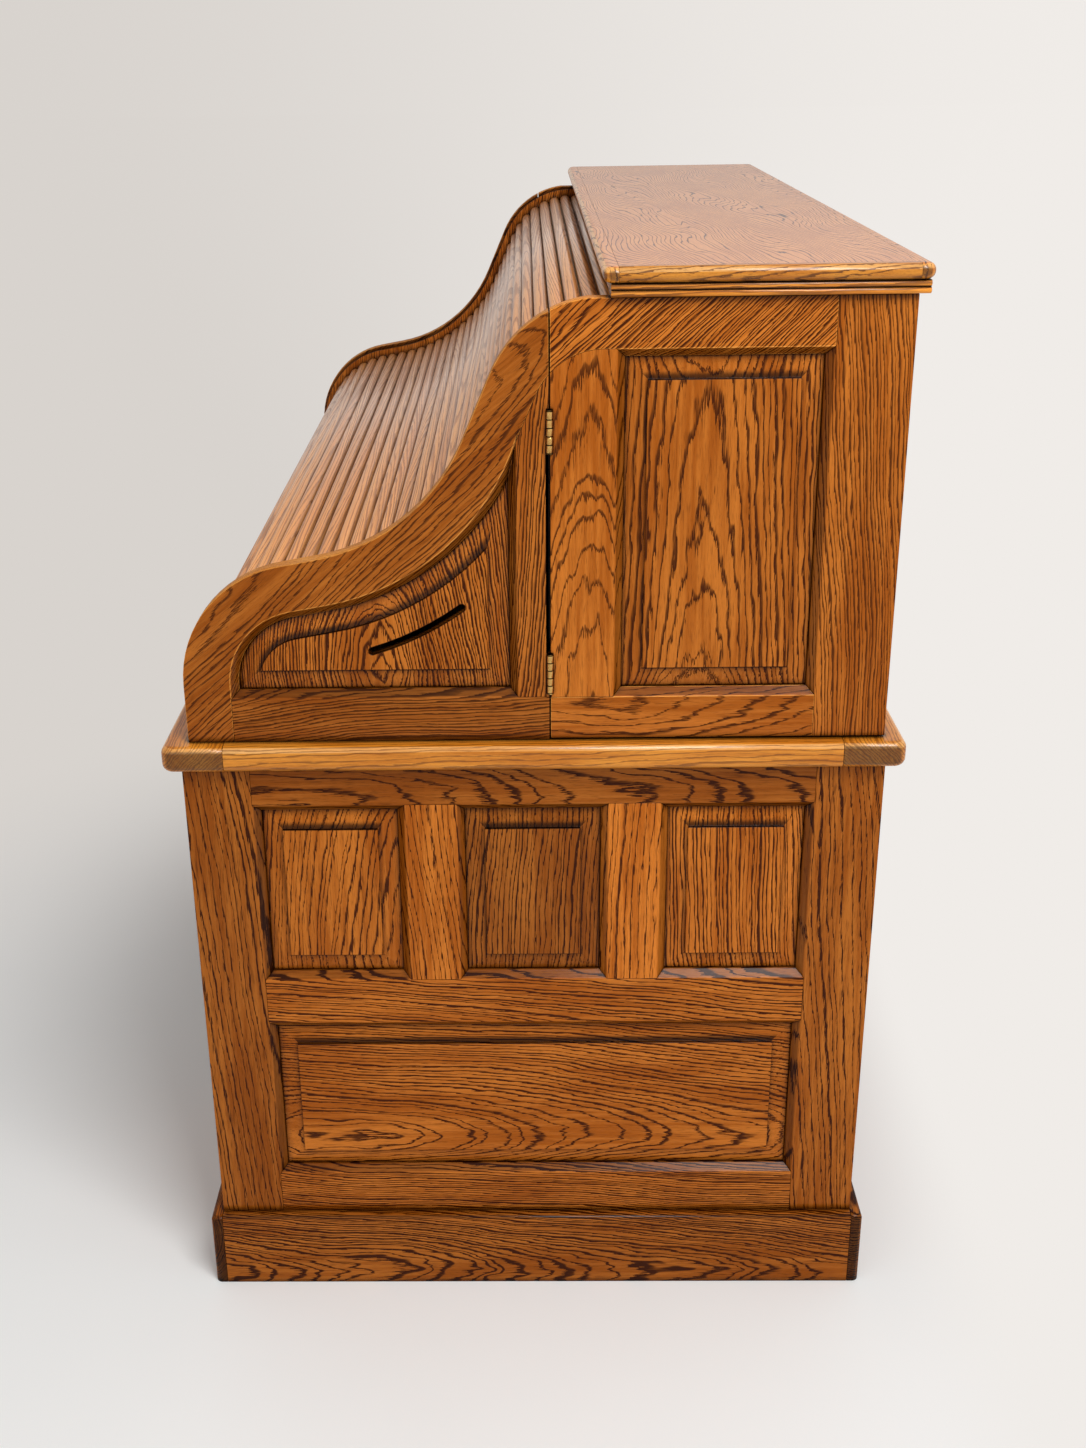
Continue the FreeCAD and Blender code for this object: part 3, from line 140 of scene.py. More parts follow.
def boards_of(mesh):
    """Lists of vertex indices, one list for each separate solid of a mesh."""
    parent = list(range(len(mesh.vertices)))

    def root(i):
        while parent[i] != i:
            parent[i] = parent[parent[i]]
            i = parent[i]
        return i

    seen = {}
    for v in mesh.vertices:
        key = tuple(round(c / WELD) for c in v.co)
        parent[root(v.index)] = root(seen.setdefault(key, v.index))
    for edge in mesh.edges:
        a, b = edge.vertices
        parent[root(a)] = root(b)
    groups = {}
    for i in range(len(parent)):
        groups.setdefault(root(i), []).append(i)
    return [groups[k] for k in sorted(groups, key=lambda k: groups[k][0])]


def corners_of(points):
    """The lowest and the highest corner of the box round some points."""
    low = Vector([min(p[k] for p in points) for k in range(3)])
    high = Vector([max(p[k] for p in points) for k in range(3)])
    return low, high


def is_lipping(low, high):
    """Whether a board of a veneered node is one of its lippings."""
    return high.x - low.x < LIPPING_WIDTH


def board_axes(name, low, high):
    """Unit vectors along the grain, across the face and through the board."""
    size = high - low
    order = sorted(range(3), key=lambda i: -size[i])
    along, across, through = [Vector([float(i == k) for i in range(3)]) for k in order]
    if name in GRAIN_OF:
        along = GRAIN_OF[name]
        across = through.cross(along)
    elif name.endswith("door_rails") and low.z > CURVED_RAIL_FOOT:
        along = RAKED
        across = through.cross(along)
    return along, across, through


def heart_of(name, width):
    """Where a board's middle lies as seen from the heart of its tree."""
    heart = Vector((
        rng.uniform(*HEART_ALONG),
        rng.uniform(*HEART_ACROSS) * width,
        rng.choice((-1, 1)) * rng.uniform(*HEART_THROUGH),
    ))
    straight = 1.0 if name.startswith("tambour") else STRAIGHT_OF.get(name, STRAIGHT_SHARE)
    if rng.random() < straight:
        heart.y += rng.choice((-1, 1)) * rng.uniform(*STRAIGHT_OFFSET) * (width + STRAIGHT_MARGIN)
    if name in CENTRED:
        heart.y = CENTRED_OFFSET * width
    if name in SLANTED:
        heart.z = math.copysign(heart.y, heart.z)
    return heart


def kind_of(name, low, high, node_low, node_high, upright):
    """A board's tone, the width of its rings and the strength of its dark lines."""
    tone = TONE_OF.get(name, 0) + rng.uniform(-TONE_SPREAD, TONE_SPREAD)
    if name in VENEERED and is_lipping(low, high):
        tone += LIPPING_TONE
    for node, depth_share, height_share, added in ODD_BOARDS:
        y = node_low.y + depth_share * (node_high.y - node_low.y)
        z = node_low.z + height_share * (node_high.z - node_low.z)
        if node == name and low.y < y < high.y and low.z < z < high.z:
            tone += added
    own_rings = upright or name in VENEERED
    ring = rng.uniform(*(RING_OF.get(name, OAK_RING) if own_rings else OAK_RING))
    bold = BOLD_OF.get(name, 1) * rng.uniform(*BOLD_SPREAD)
    return Vector((tone, ring, bold))


def lay_grain(name, obj):
    """Store each board's grain coordinates (from the heart of the tree), its grain's direction and its kind,
    and how deep each vertex lies under the board's face."""
    mesh = obj.data
    layers = ("grain", "grain_axis", "board", "shape")
    for layer in layers:
        mesh.attributes.new(layer, "FLOAT_VECTOR", "POINT")
    grain, axis, board, shape = [mesh.attributes[layer] for layer in layers]
    node_low, node_high = corners_of(obj.bound_box)
    scale = SLAT_STRETCH if name.startswith("tambour") else STRETCH_OF.get(name, 1)
    stretch = Vector((scale, 1, 1))
    wave = WAVE_OF.get(name, 1)
    for indices in boards_of(mesh):
        points = [mesh.vertices[i].co for i in indices]
        low, high = corners_of(points)
        along, across, through = board_axes(name, low, high)
        centre = (low + high) / 2
        heart = heart_of(name, abs((high - low).dot(across)))
        kind = kind_of(name, low, high, node_low, node_high, along.z > UPRIGHT_RISE)
        if name in VENEERED and not is_lipping(low, high):
            heart = VENEER_HEART
            centre = (node_low + node_high) / 2
            along, across, through = Matrix.Identity(3)
        outward = through if centre.dot(through) > 0 else -through
        face = max(p.dot(outward) for p in points)
        for i, p in zip(indices, points):
            rel = p - centre
            rel = Vector((rel.dot(along), rel.dot(across), rel.dot(through))) * stretch
            grain.data[i].vector = heart + rel
            axis.data[i].vector = along
            board.data[i].vector = kind
            shape.data[i].vector = (face - p.dot(outward), wave, 0)


def measure_ends(obj):
    """Store how far each vertex is over its solid's foot, under its head and behind its outermost side."""
    mesh = obj.data
    ends = mesh.attributes.new("ends", "FLOAT_VECTOR", "POINT")
    for indices in boards_of(mesh):
        points = [mesh.vertices[i].co for i in indices]
        foot = min(p.z for p in points)
        head = max(p.z for p in points)
        outermost = max(abs(p.x) for p in points)
        for i, p in zip(indices, points):
            ends.data[i].vector = (p.z - foot, head - p.z, outermost - abs(p.x))


# Shader maths: sums on sockets add Math nodes

class Value:
    """A socket that can stand in a Python expression."""

    def __init__(self, finish, socket):
        self.finish = finish
        self.socket = socket

    def math(self, operation, *others):
        sockets = dict(enumerate((self,) + others))
        return self.finish.node("ShaderNodeMath", {"operation": operation}, sockets)

    def __add__(self, other):
        return self.math("ADD", other)

    def __sub__(self, other):
        return self.math("SUBTRACT", other)

    def __rsub__(self, other):
        return self.finish.node("ShaderNodeMath", {"operation": "SUBTRACT"}, {0: other, 1: self})

    def __mul__(self, other):
        return self.math("MULTIPLY", other)

    def __truediv__(self, other):
        return self.math("DIVIDE", other)

    __radd__ = __add__
    __rmul__ = __mul__


BACKDROP_DIM = srgb(216, 211, 206)
BACKDROP_BRIGHT = srgb(240, 236, 232)
# Sideways part of the direction, from the desk's front side to behind it, over which the backdrop brightens
BACKDROP_TURN = (-0.3, 0.32)
OPENNESS_RAYS = 6


class Finish:
    """A material or a world, and the nodes that make it."""

    def __init__(self, block):
        self.block = block
        block.use_nodes = True
        self.tree = block.node_tree
        self.tree.nodes.clear()

    def node(self, kind, settings=None, sockets=None, out=0):
        """Add a node: its settings are set first, then the values or links of its sockets."""
        made = self.tree.nodes.new(kind)
        for key, value in (settings or {}).items():
            setattr(made, key, value)
        for key, value in (sockets or {}).items():
            if isinstance(value, Value):
                self.tree.links.new(value.socket, made.inputs[key])
            else:
                made.inputs[key].default_value = value
        return None if out is None else Value(self, made.outputs[out])

    def step(self, value, low, high):
        """Smooth step from 0 at low to 1 at high."""
        settings = {"interpolation_type": "SMOOTHSTEP"}
        return self.node("ShaderNodeMapRange", settings, {0: value, 1: low, 2: high})

    def mix(self, factor, a, b, blend="MIX"):
        """Mix two colours."""
        settings = {"data_type": "RGBA", "blend_type": blend, "clamp_factor": True}
        return self.node("ShaderNodeMix", settings, {0: factor, 6: a, 7: b}, 2)

    def parts(self, vector):
        """The three numbers of a vector."""
        split = self.node("ShaderNodeSeparateXYZ", None, {0: vector}).socket.node
        return [Value(self, split.outputs[i]) for i in range(3)]

    def noise(self, vector, scale=1.0, detail=2.0, rough=0.5):
        sockets = {"Vector": vector, "Scale": scale, "Detail": detail, "Roughness": rough}
        return self.node("ShaderNodeTexNoise", {"noise_dimensions": "3D"}, sockets)

    def figure(self, place, pitch, detail=1.0, rough=0.5):
        """Noise with its own pitch along, across and through the grain."""
        sockets = {i: place[i] * pitch[i] for i in range(3)}
        return self.noise(self.node("ShaderNodeCombineXYZ", None, sockets), 1.0, detail, rough)

    def attribute(self, name):
        return self.node("ShaderNodeAttribute", {"attribute_name": name}, None, "Vector")

    def coordinate(self, kind):
        return self.node("ShaderNodeTexCoord", None, None, kind)

    def openness(self, distance):
        """How much of the sky a point sees within a distance: 1 in the open, less in a corner."""
        settings = {"samples": OPENNESS_RAYS}
        return self.node("ShaderNodeAmbientOcclusion", settings, {"Distance": distance}, "AO")

    def bump(self, height, strength, distance):
        sockets = {"Strength": strength, "Distance": distance, "Height": height}
        return self.node("ShaderNodeBump", None, sockets)

    def direction_tint(self, vector):
        """Backdrop colour: a little darker on the desk's front side than behind it."""
        turned = self.node("ShaderNodeVectorMath", {"operation": "NORMALIZE"}, {0: vector})
        return self.mix(self.step(self.parts(turned)[1], *BACKDROP_TURN), BACKDROP_DIM, BACKDROP_BRIGHT)

    def seen(self):
        """1 for rays from the camera, a mirror or glass."""
        path = self.node("ShaderNodeLightPath").socket.node
        camera, glossy, through = [
            Value(self, path.outputs[k]) for k in ("Is Camera Ray", "Is Glossy Ray", "Is Transmission Ray")
        ]
        return camera.math("MAXIMUM", glossy).math("MAXIMUM", through)

    def close(self, shader, kind="ShaderNodeOutputMaterial"):
        self.node(kind, None, {0: shader}, None)
        return self.block

    def surface(self, sockets):
        """Close the tree with a Principled shader."""
        return self.close(self.node("ShaderNodeBsdfPrincipled", None, sockets))


def finish(name):
    return Finish(bpy.data.materials.new(name))


# Oak

# Noise in the wood: waves per metre along, across and through the grain
SLOW_WAVES = (2.6, 6, 6)
QUICK_WAVES = (20, 80, 80)
PORES = (42, 760, 760)
EYES = (1.3, 13, 0)
CLOUDS = (4, 24, 24)
STREAKS = (9, 190, 190)
FLECKS = (90, 2400, 2400)
PORE_ROUGHNESS = 0.6
# How fast the rings widen along the trunk, and how far slow waves bend them
TAPER = 0.08
SLOW_BEND = 0.045
# How far quick waves bend the rings, and how far pores do in years: sawn boards, then peeled veneer
SAWN_BENDS = (0.005, 0.8)
PEELED_BENDS = (0.0015, 0.15)
# How often good and bad years change, and by how many years they shift the rings
SEASON_PITCH = 0.45
SEASON_SHIFT = 1.4
# Least width of the porous band that starts a year's growth; the widest is twice that
EARLY_WOOD = 0.0014
# How much narrower the band is where the saw ran along the rings, and the share of it that is densest
FLAT_SAWN_LOSS = 0.35
DENSE_SHARE = 0.25
# How much the band opens the pores, and how dark a pore is outside the band
BAND_PORES = 0.36
LATE_PORE = 0.45
# How much of its pores peeled veneer shows between its contour lines
PEELED_PORES = 0.2
CLOUD_SHARE = 0.6
FLECK_STRENGTH = 0.4
TONE_STEP = 0.3
# Reach of the painted shade in corners and joints
CORNER_REACH = 0.009
PORE_DEPTH = 0.0006
PORE_BUMP = 0.3
SMOOTH_ROUGHNESS = 0.4
PORE_ADDED_ROUGHNESS = 0.16
VARNISH_ROUGHNESS = 0.18

# Smooth steps: the value where each starts, and the value where it is full
FLAT_SAWN = (0.7, 1.0)
BAND_START = (0.0, 0.05)
OPEN_PORE = (0.54, 0.7)
CONTOUR_START = (0.0, 0.08)
CONTOUR_END = (0.13, 0.26)
END_GRAIN = (0.72, 0.95)
PALE_WOOD = (0.35, 0.65)
FLECK = (0.52, 0.78)
# Openness over which a corner's painted shade fades out
UNSHADED_CORNER = (0.55, 0.98)
SQUARE_FACE = (0.88, 0.97)
LEDGE_TILT = (0.05, 0.1)
# The same for depths under a board's face: a frame's slopes, and the ledges over and under a raised field
SLOPE_DEPTH = (0.0004, 0.002)
UPPER_LEDGE = (0.0046, 0.006)
LOWER_LEDGE = (0.0042, 0.0048)


def grain_lines(f, place, ring_width, boldness, wave, peeled):
    """Dark lines of the growth rings: 1 in an open pore, 0 in smooth wood."""
    along, across, through = place
    # Rings round the heart of the tree, bent by slow and quick waves
    radius = f.node("ShaderNodeVectorMath", {"operation": "LENGTH"}, {
        0: f.node("ShaderNodeCombineXYZ", None, {1: across, 2: through})
    }, "Value")
    slow = f.figure(place, SLOW_WAVES)
    quick = f.figure(place, QUICK_WAVES)
    pores = f.figure(place, PORES, 2, PORE_ROUGHNESS)
    quick_bend, pore_bend = PEELED_BENDS if peeled else SAWN_BENDS
    rings = (radius + (along * TAPER + slow * SLOW_BEND) * wave + quick * quick_bend) / ring_width
    seasons = f.node("ShaderNodeTexNoise", {"noise_dimensions": "1D"}, {
        "W": rings * SEASON_PITCH, "Scale": 1, "Detail": 1
    })
    rings = rings + seasons * SEASON_SHIFT + pores * pore_bend
    if peeled:
        # Veneer peeled off a turning log shows contour lines with eyes
        rings = rings + f.figure(place, EYES, 0) * peeled / ring_width
    # Each year starts with a band of open pores, which thins out into smooth late wood
    year = f.node("ShaderNodeTexWhiteNoise", {"noise_dimensions": "1D"}, {"W": rings.math("FLOOR")})
    phase = rings.math("FRACT")
    flat = f.step(through.math("ABSOLUTE") / radius, *FLAT_SAWN)
    early = (EARLY_WOOD + year * EARLY_WOOD) / ring_width * (1 - flat * FLAT_SAWN_LOSS)
    band = f.step(phase, *BAND_START) * (1 - f.step(phase, early * DENSE_SHARE, early))
    dash = f.step(pores + band * BAND_PORES, *OPEN_PORE)
    grain = dash * (LATE_PORE + band * (1 - LATE_PORE)) * boldness
    if peeled:
        contour = f.step(phase, *CONTOUR_START) * (1 - f.step(phase, *CONTOUR_END))
        grain = (grain * PEELED_PORES).math("MAXIMUM", contour)
    return grain


def oak(name, pale, tan, dark, gloss=0.0, coat=0.22, end_tone=0.25, corner_shade=0.8, ledge_dust_and_shade=0.0, peeled=0.0,
        slope=0.0):
    """Varnished oak from three colours: growth rings, open pores and darker end grain.

    gloss and coat set the varnish, and end_tone the brightness of end grain. The corner setting paints shade
    into corners and joints, the ledge setting lays dust and painted shade round a raised field, and slope
    darkens the slopes of a frame. peeled makes it veneer and sets how many metres its eyes reach.
    """
    f = finish(name)
    place = f.parts(f.attribute("grain"))
    tone, ring_width, boldness = f.parts(f.attribute("board"))
    relief, wave, _ = f.parts(f.attribute("shape"))
    grain = grain_lines(f, place, ring_width, boldness, wave, peeled)
    cloud = f.figure(place, CLOUDS, 2)
    streak = f.figure(place, STREAKS)
    body = f.mix(f.step(cloud * CLOUD_SHARE + streak * (1 - CLOUD_SHARE), *PALE_WOOD), tan, pale)
    fleck = f.step(f.figure(place, FLECKS), *FLECK)
    colour = f.mix(grain.math("MAXIMUM", fleck * FLECK_STRENGTH), body, dark)
    # Ends of boards soak up more stain; corners and joints, which see little of the sky, get painted shade
    normal = f.coordinate("Normal")
    facing = f.node("ShaderNodeVectorMath", {"operation": "DOT_PRODUCT"}, {
        0: normal, 1: f.attribute("grain_axis")
    }, "Value").math("ABSOLUTE")
    end = f.step(facing, *END_GRAIN)
    corner = 1 - f.step(f.openness(CORNER_REACH), *UNSHADED_CORNER)
    depth = (1 + tone * TONE_STEP) * (1 - end * (1 - end_tone)) * (1 - corner_shade * corner)
    if slope:
        # The slopes round a frame's opening are darker than its face
        sides = [part.math("ABSOLUTE") for part in f.parts(normal)]
        steepest = sides[0].math("MAXIMUM", sides[1]).math("MAXIMUM", sides[2])
        oblique = 1 - f.step(steepest, *SQUARE_FACE)
        depth = depth * (1 - f.step(relief, *SLOPE_DEPTH) * oblique * slope)
    if ledge_dust_and_shade:
        # Dust and painted shade lie in a broad band on the ledge above a raised field, and a thin painted
        # shadow line lies below it
        tilt = f.parts(normal)[2]
        above = f.step(tilt, *LEDGE_TILT) * (1 - f.step(relief, *UPPER_LEDGE))
        below = f.step(0 - tilt, *LEDGE_TILT) * (1 - f.step(relief, *LOWER_LEDGE))
        depth = depth * (1 - above.math("MAXIMUM", below) * ledge_dust_and_shade)
    shade = f.node("ShaderNodeCombineColor", None, {0: depth, 1: depth, 2: depth})
    return f.surface({
        "Base Color": f.mix(1.0, colour, shade, "MULTIPLY"),
        "Roughness": SMOOTH_ROUGHNESS + grain * PORE_ADDED_ROUGHNESS,
        "Specular IOR Level": gloss,
        "Coat Weight": coat,
        "Coat Roughness": VARNISH_ROUGHNESS,
        "Normal": f.bump(1 - grain, strength=PORE_BUMP, distance=PORE_DEPTH),
    })


# Canvas and metal

# Phase of the threads' wave per metre, in radians
THREADS = 4200
WEAVE = (-0.6, 0.6)


def canvas():
    """Unbleached cloth: two crossed sets of threads."""
    f = finish("canvas")
    x, y, z = f.parts(f.coordinate("Object"))
    length = y + z
    warp = (x * THREADS).math("SINE")
    weft = (length * THREADS).math("SINE")
    weave = f.step(warp * weft, *WEAVE)
    return f.surface({
        "Base Color": f.mix(weave, srgb(176, 160, 132), srgb(206, 192, 166)),
        "Roughness": 0.9,
        "Normal": f.bump(weave, strength=0.4, distance=0.0004),
    })


# Grime and painted shade where a metal sees little of the sky: its colour, its reach and the openness where
# it ends
GRIME_AND_SHADE = srgb(30, 18, 8)
GRIME_AND_SHADE_REACH = 0.004
CLEAN_LIT_METAL = (0.5, 0.95)
# Dull patches: their pitch per metre, where they start and are full, and how much rougher they are
PATCH_PITCH = 900
DULL_PATCH = (0.35, 0.7)
PATCH_ROUGHNESS = 0.2
# Knuckles of a hinge, and how far dirt and painted shade reach from the joints between them, as shares of a
# knuckle
KNUCKLES = 5
JOINT_DIRT_AND_SHADE = (0.044, 0.11)
# Distance behind a hinge's outermost side where its barrel ends and its leaves begin
BARREL_END = (0.0064, 0.008)


def metal(name, bright, dull, rough, knuckles=0):
    """Worn metal with darker patches, grime and painted shade in its hollows, and on a hinge, dirt and
    painted shade at the joints between the knuckles.
    """
    f = finish(name)
    patches = f.step(f.noise(f.coordinate("Object"), PATCH_PITCH, 3), *DULL_PATCH)
    clean_lit = f.step(f.openness(GRIME_AND_SHADE_REACH), *CLEAN_LIT_METAL)
    if knuckles:
        below, above, inside = f.parts(f.attribute("ends"))
        nearest = ((below / (below + above) * knuckles + 0.5).math("FRACT") - 0.5).math("ABSOLUTE")
        leaf = f.step(inside, *BARREL_END)
        clean_lit = clean_lit * f.step(nearest, *JOINT_DIRT_AND_SHADE).math("MAXIMUM", leaf)
    return f.surface({
        "Base Color": f.mix(clean_lit, GRIME_AND_SHADE, f.mix(patches, bright, dull)),
        "Metallic": 1.0,
        "Roughness": rough + patches * PATCH_ROUGHNESS,
    })


# Finishes

OAK_COLOURS = (srgb(196, 113, 38), srgb(160, 82, 16), srgb(66, 25, 0))
# Worn edges of curved rails, paler also as a painted highlight
WORN_HIGHLIGHT_COLOURS = (srgb(238, 160, 72), srgb(220, 138, 52), srgb(150, 84, 24))
TOP_COLOURS = (srgb(214, 133, 56), srgb(196, 114, 43), srgb(78, 36, 12))
EDGE_COLOURS = (srgb(226, 146, 46), srgb(196, 114, 22), srgb(84, 38, 0))
# Paler oak painted on rounded upper edges as a highlight
HIGHLIGHT_COLOURS = (srgb(240, 176, 98), srgb(220, 148, 68), srgb(110, 60, 18))
TAMBOUR_COLOURS = (srgb(232, 160, 88), srgb(216, 140, 72), srgb(170, 108, 58))
INNER_COLOURS = (srgb(206, 150, 92), srgb(180, 122, 68), srgb(112, 70, 36))
# The corner setting of each finish paints shade into corners, joints and the gaps between slats
OAKS = {
    "frame_oak": (OAK_COLOURS, {"slope": 0.45}),
    "panel_oak": (OAK_COLOURS, {"ledge_dust_and_shade": 0.75}),
    "worn_highlight_oak": (WORN_HIGHLIGHT_COLOURS, {"corner_shade": 1.0}),
    "top_oak": (TOP_COLOURS, {"gloss": 0.3, "coat": 0.5, "peeled": 0.085}),
    "edge_oak": (EDGE_COLOURS, {"gloss": 0.1, "coat": 0.6, "end_tone": 0.35, "corner_shade": 0.95}),
    "highlight_oak": (HIGHLIGHT_COLOURS, {"gloss": 0.1, "coat": 0.7, "end_tone": 0.35, "corner_shade": 0.95}),
    "tambour_oak": (TAMBOUR_COLOURS, {"gloss": 0.3, "coat": 0.75, "corner_shade": 0.5}),
    "inner_oak": (INNER_COLOURS, {}),
}
finishes = {name: oak(name, *colours, **settings) for name, (colours, settings) in OAKS.items()}
finishes["canvas"] = canvas()
finishes["hinge_brass"] = metal("hinge_brass", srgb(232, 190, 116), srgb(178, 130, 68), 0.25, KNUCKLES)
finishes["magnet_steel"] = metal("magnet_steel", srgb(170, 170, 168), srgb(110, 110, 108), 0.35)


def finish_of(name):
    """The name of a node's main finish."""
    if name.startswith("hinge_") or name.endswith("door_hardware"):
        return "hinge_brass"
    if name == "door_magnets":
        return "magnet_steel"
    if name.startswith(("tambour", "lift")):
        return "tambour_oak"
    if name.endswith(("_panel", "_panels")):
        return "panel_oak"
    if name.endswith("_box") or name.startswith(("drawer_runners", "pigeonhole")):
        return "inner_oak"
    if name in ("worktop_strips", "top_moulding"):
        return "edge_oak"
    if name.startswith(("worktop", "top_")):
        return "top_oak"
    return "frame_oak"


def slot_of(mesh, finish_name):
    """The slot of a mesh that holds a finish, added where there is none."""
    wanted = finishes[finish_name]
    if wanted.name not in mesh.materials:
        mesh.materials.append(wanted)
    return mesh.materials.find(wanted.name)


def finish_faces(mesh, finish_name, test):
    """Give the faces whose normal passes a test another finish."""
    slot = slot_of(mesh, finish_name)
    for face in mesh.polygons:
        if test(face.normal):
            face.material_index = slot


def finish_boards(mesh, finish_name, test):
    """Give the boards that pass a test on their lowest and highest corner another finish."""
    slot = slot_of(mesh, finish_name)
    chosen = set()
    for indices in boards_of(mesh):
        low, high = corners_of([mesh.vertices[i].co for i in indices])
        if test(low, high):
            chosen.update(indices)
    for face in mesh.polygons:
        if face.vertices[0] in chosen:
            face.material_index = slot


# The worn strip along the front edge of curved rails, paler as wear and as a painted highlight: it leans
# forwards and up, and not to a side
WORN_HIGHLIGHT_EDGES = ("wing_curved_rails", "right_door_rails", "left_door_rails")
WORN_HIGHLIGHT_RISE = 0.2
WORN_HIGHLIGHT_BACKWARD = 0.1
WORN_HIGHLIGHT_SIDEWAYS = 0.2


def is_worn_highlight(normal):
    return normal.z > WORN_HIGHLIGHT_RISE and normal.y < WORN_HIGHLIGHT_BACKWARD and abs(normal.x) < WORN_HIGHLIGHT_SIDEWAYS


# Nodes whose rounded upper edges get a paler finish as a painted highlight, and how steeply such a face
# looks up
HIGHLIGHT_NODES = ("top_board", "worktop_strips")
HIGHLIGHT_RISE = (0.25, 0.85)


def is_highlit_rounding(normal):
    return HIGHLIGHT_RISE[0] < normal.z < HIGHLIGHT_RISE[1]


# Faces of the top board that look up less than this are edges, without veneer
EDGE_RISE = 0.7
# A tambour solid wider than any slat is the canvas behind them
SLAT_WIDTH = 0.03
EASED_EDGE = 0.0007
METAL_EDGE = 0.0008
EDGE_OF = {"top_board": 0.0002}
# Faces that turn by less than the first angle are merged, and edges sharper than the second are eased
FLAT_TURN = math.radians(0.4)
SHARP_TURN = math.radians(40)


def ease_edges(obj, width, clamp):
    """Merge flat faces and round off sharp edges, without a change to the mesh itself."""
    weld = obj.modifiers.new("weld", "WELD")
    weld.merge_threshold = WELD
    flat = obj.modifiers.new("flat_faces", "DECIMATE")
    flat.decimate_type = "DISSOLVE"
    flat.angle_limit = FLAT_TURN
    ease = obj.modifiers.new("eased_edges", "BEVEL")
    ease.width = width
    ease.segments = 2
    ease.limit_method = "ANGLE"
    ease.angle_limit = SHARP_TURN
    ease.use_clamp_overlap = clamp
    ease.harden_normals = True
    return ease


for name in sorted(nodes):
    obj = nodes[name]
    mesh = obj.data
    main = finish_of(name)
    mesh.materials.clear()
    mesh.materials.append(finishes[main])
    if main.endswith("oak"):
        lay_grain(name, obj)
    else:
        measure_ends(obj)
    if name in VENEERED:
        finish_boards(mesh, "edge_oak", is_lipping)
        finish_faces(mesh, "edge_oak", lambda normal: normal.z < EDGE_RISE)
    # Painted highlight on rounded upper edges
    if name in HIGHLIGHT_NODES:
        finish_faces(mesh, "highlight_oak", is_highlit_rounding)
    if name.startswith("tambour"):
        finish_boards(mesh, "canvas", lambda low, high: (high - low).yz.length > SLAT_WIDTH)
    brass = main == "hinge_brass"
    ease = ease_edges(obj, EDGE_OF.get(name, METAL_EDGE if brass else EASED_EDGE), brass)
    # Worn edges with a painted highlight: faces that lean forwards and up, and the eased edges of curved
    # rails
    if name in WORN_HIGHLIGHT_EDGES:
        finish_faces(mesh, "worn_highlight_oak", is_worn_highlight)
        ease.material = slot_of(mesh, "worn_highlight_oak")

# Floor

FLOOR_SIZE = 80.0
# The floor shows the desk's shadow near this point. Further off, and behind the desk, it shows the backdrop.
SHADOW_CENTRE = (0.5, 0, 0)
SHADOW_FADE = (0.85, 1.9)
BEHIND_DESK = (0.43, 0.62)
PAPER_PITCH = 3
side = FLOOR_SIZE / 2
floor_mesh = bpy.data.meshes.new("floor")
floor_mesh.from_pydata(
    [(-side, -side, 0), (side, -side, 0), (side, side, 0), (-side, side, 0)], [], [(0, 1, 2, 3)]
)
floor = bpy.data.objects.new("floor", floor_mesh)
scene.collection.objects.link(floor)
f = finish("floor")
place = f.coordinate("Object")
paper = f.node("ShaderNodeBsdfPrincipled", None, {
    "Base Color": f.mix(f.noise(place, PAPER_PITCH), srgb(247, 248, 247), srgb(243, 244, 243)),
    "Roughness": 1.0,
    "Specular IOR Level": 0.0,
})
glow = f.node("ShaderNodeBsdfPrincipled", None, {
    "Base Color": (0, 0, 0, 1),
    "Specular IOR Level": 0.0,
    "Emission Color": f.direction_tint(place),
    "Emission Strength": 1.0,
})
away = f.node("ShaderNodeVectorMath", {"operation": "DISTANCE"}, {0: place, 1: SHADOW_CENTRE}, "Value")
behind = f.step(f.parts(place)[1], *BEHIND_DESK)
far = f.step(away, *SHADOW_FADE).math("MAXIMUM", behind) * f.seen()
floor.data.materials.append(f.close(f.node("ShaderNodeMixShader", None, {0: far, 1: paper, 2: glow})))

# Backdrop and light

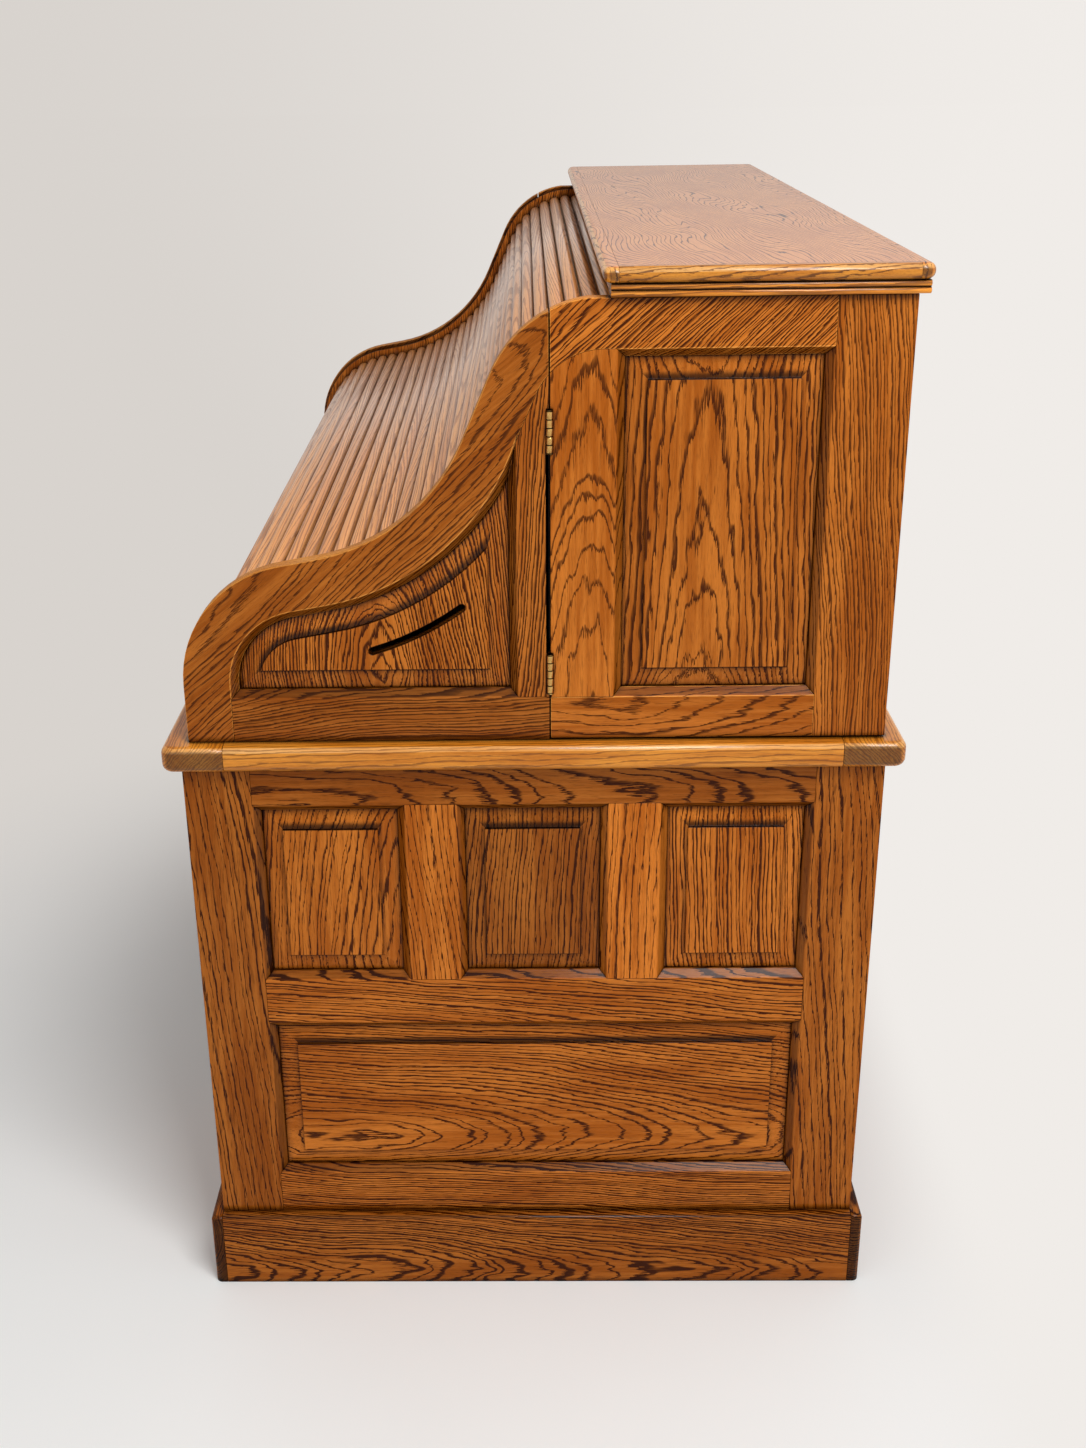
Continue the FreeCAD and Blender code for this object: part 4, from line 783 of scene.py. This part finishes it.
SKY = srgb(250, 249, 248)
SKY_LIGHT = 0.5
world = bpy.data.worlds.new("studio")
scene.world = world
f = Finish(world)
backdrop = f.direction_tint(f.coordinate("Generated"))
shown = f.node("ShaderNodeBackground", None, {"Color": backdrop})
sky = f.node("ShaderNodeBackground", None, {"Color": SKY, "Strength": SKY_LIGHT})
f.close(f.node("ShaderNodeMixShader", None, {0: f.seen(), 1: sky, 2: shown}), "ShaderNodeOutputWorld")


def soft_light(name, place, aim, size, watts):
    """Square soft box at a place, turned towards a point."""
    light = bpy.data.lights.new(name, "AREA")
    light.shape = "SQUARE"
    light.size = size
    light.energy = watts
    lamp = bpy.data.objects.new(name, light)
    scene.collection.objects.link(lamp)
    lamp.location = place
    lamp.rotation_euler = (Vector(aim) - Vector(place)).to_track_quat("-Z", "Y").to_euler()


soft_light("key", place=(2.4, 0.9, 3.2), aim=(0.3, 0, 0.5), size=1.4, watts=72)
soft_light("fill", place=(3.0, -1.6, 2.0), aim=(0.5, 0, 0.6), size=2.4, watts=8)

# Camera: placed by fitting the desk's straight edges to the photograph

CAMERA_PLACE = (2.52164, -0.00271, 1.49590)
CAMERA_YAW = math.radians(-1.2410)
CAMERA_PITCH = math.radians(22.8738)
CAMERA_ROLL = math.radians(-0.9492)
IMAGE_HEIGHT = 1448
FOCAL_PIXELS = 1683.59
SHIFT_PIXELS = (46.92, 29.63)
SENSOR_WIDTH = 36
camera_data = bpy.data.cameras.new("camera")
camera_data.sensor_width = SENSOR_WIDTH
camera_data.lens = FOCAL_PIXELS * SENSOR_WIDTH / IMAGE_HEIGHT
camera_data.shift_x = SHIFT_PIXELS[0] / IMAGE_HEIGHT
camera_data.shift_y = SHIFT_PIXELS[1] / IMAGE_HEIGHT
camera = bpy.data.objects.new("camera", camera_data)
scene.collection.objects.link(camera)
forward = Vector((
    -math.cos(CAMERA_YAW) * math.cos(CAMERA_PITCH),
    math.sin(CAMERA_YAW) * math.cos(CAMERA_PITCH),
    -math.sin(CAMERA_PITCH),
))
level = Vector((math.sin(CAMERA_YAW), math.cos(CAMERA_YAW), 0))
upward = level.cross(forward)
right = level * math.cos(CAMERA_ROLL) + upward * math.sin(CAMERA_ROLL)
up = upward * math.cos(CAMERA_ROLL) - level * math.sin(CAMERA_ROLL)
turn = Matrix((right, up, -forward)).transposed().to_4x4()
camera.matrix_world = Matrix.Translation(CAMERA_PLACE) @ turn
scene.camera = camera
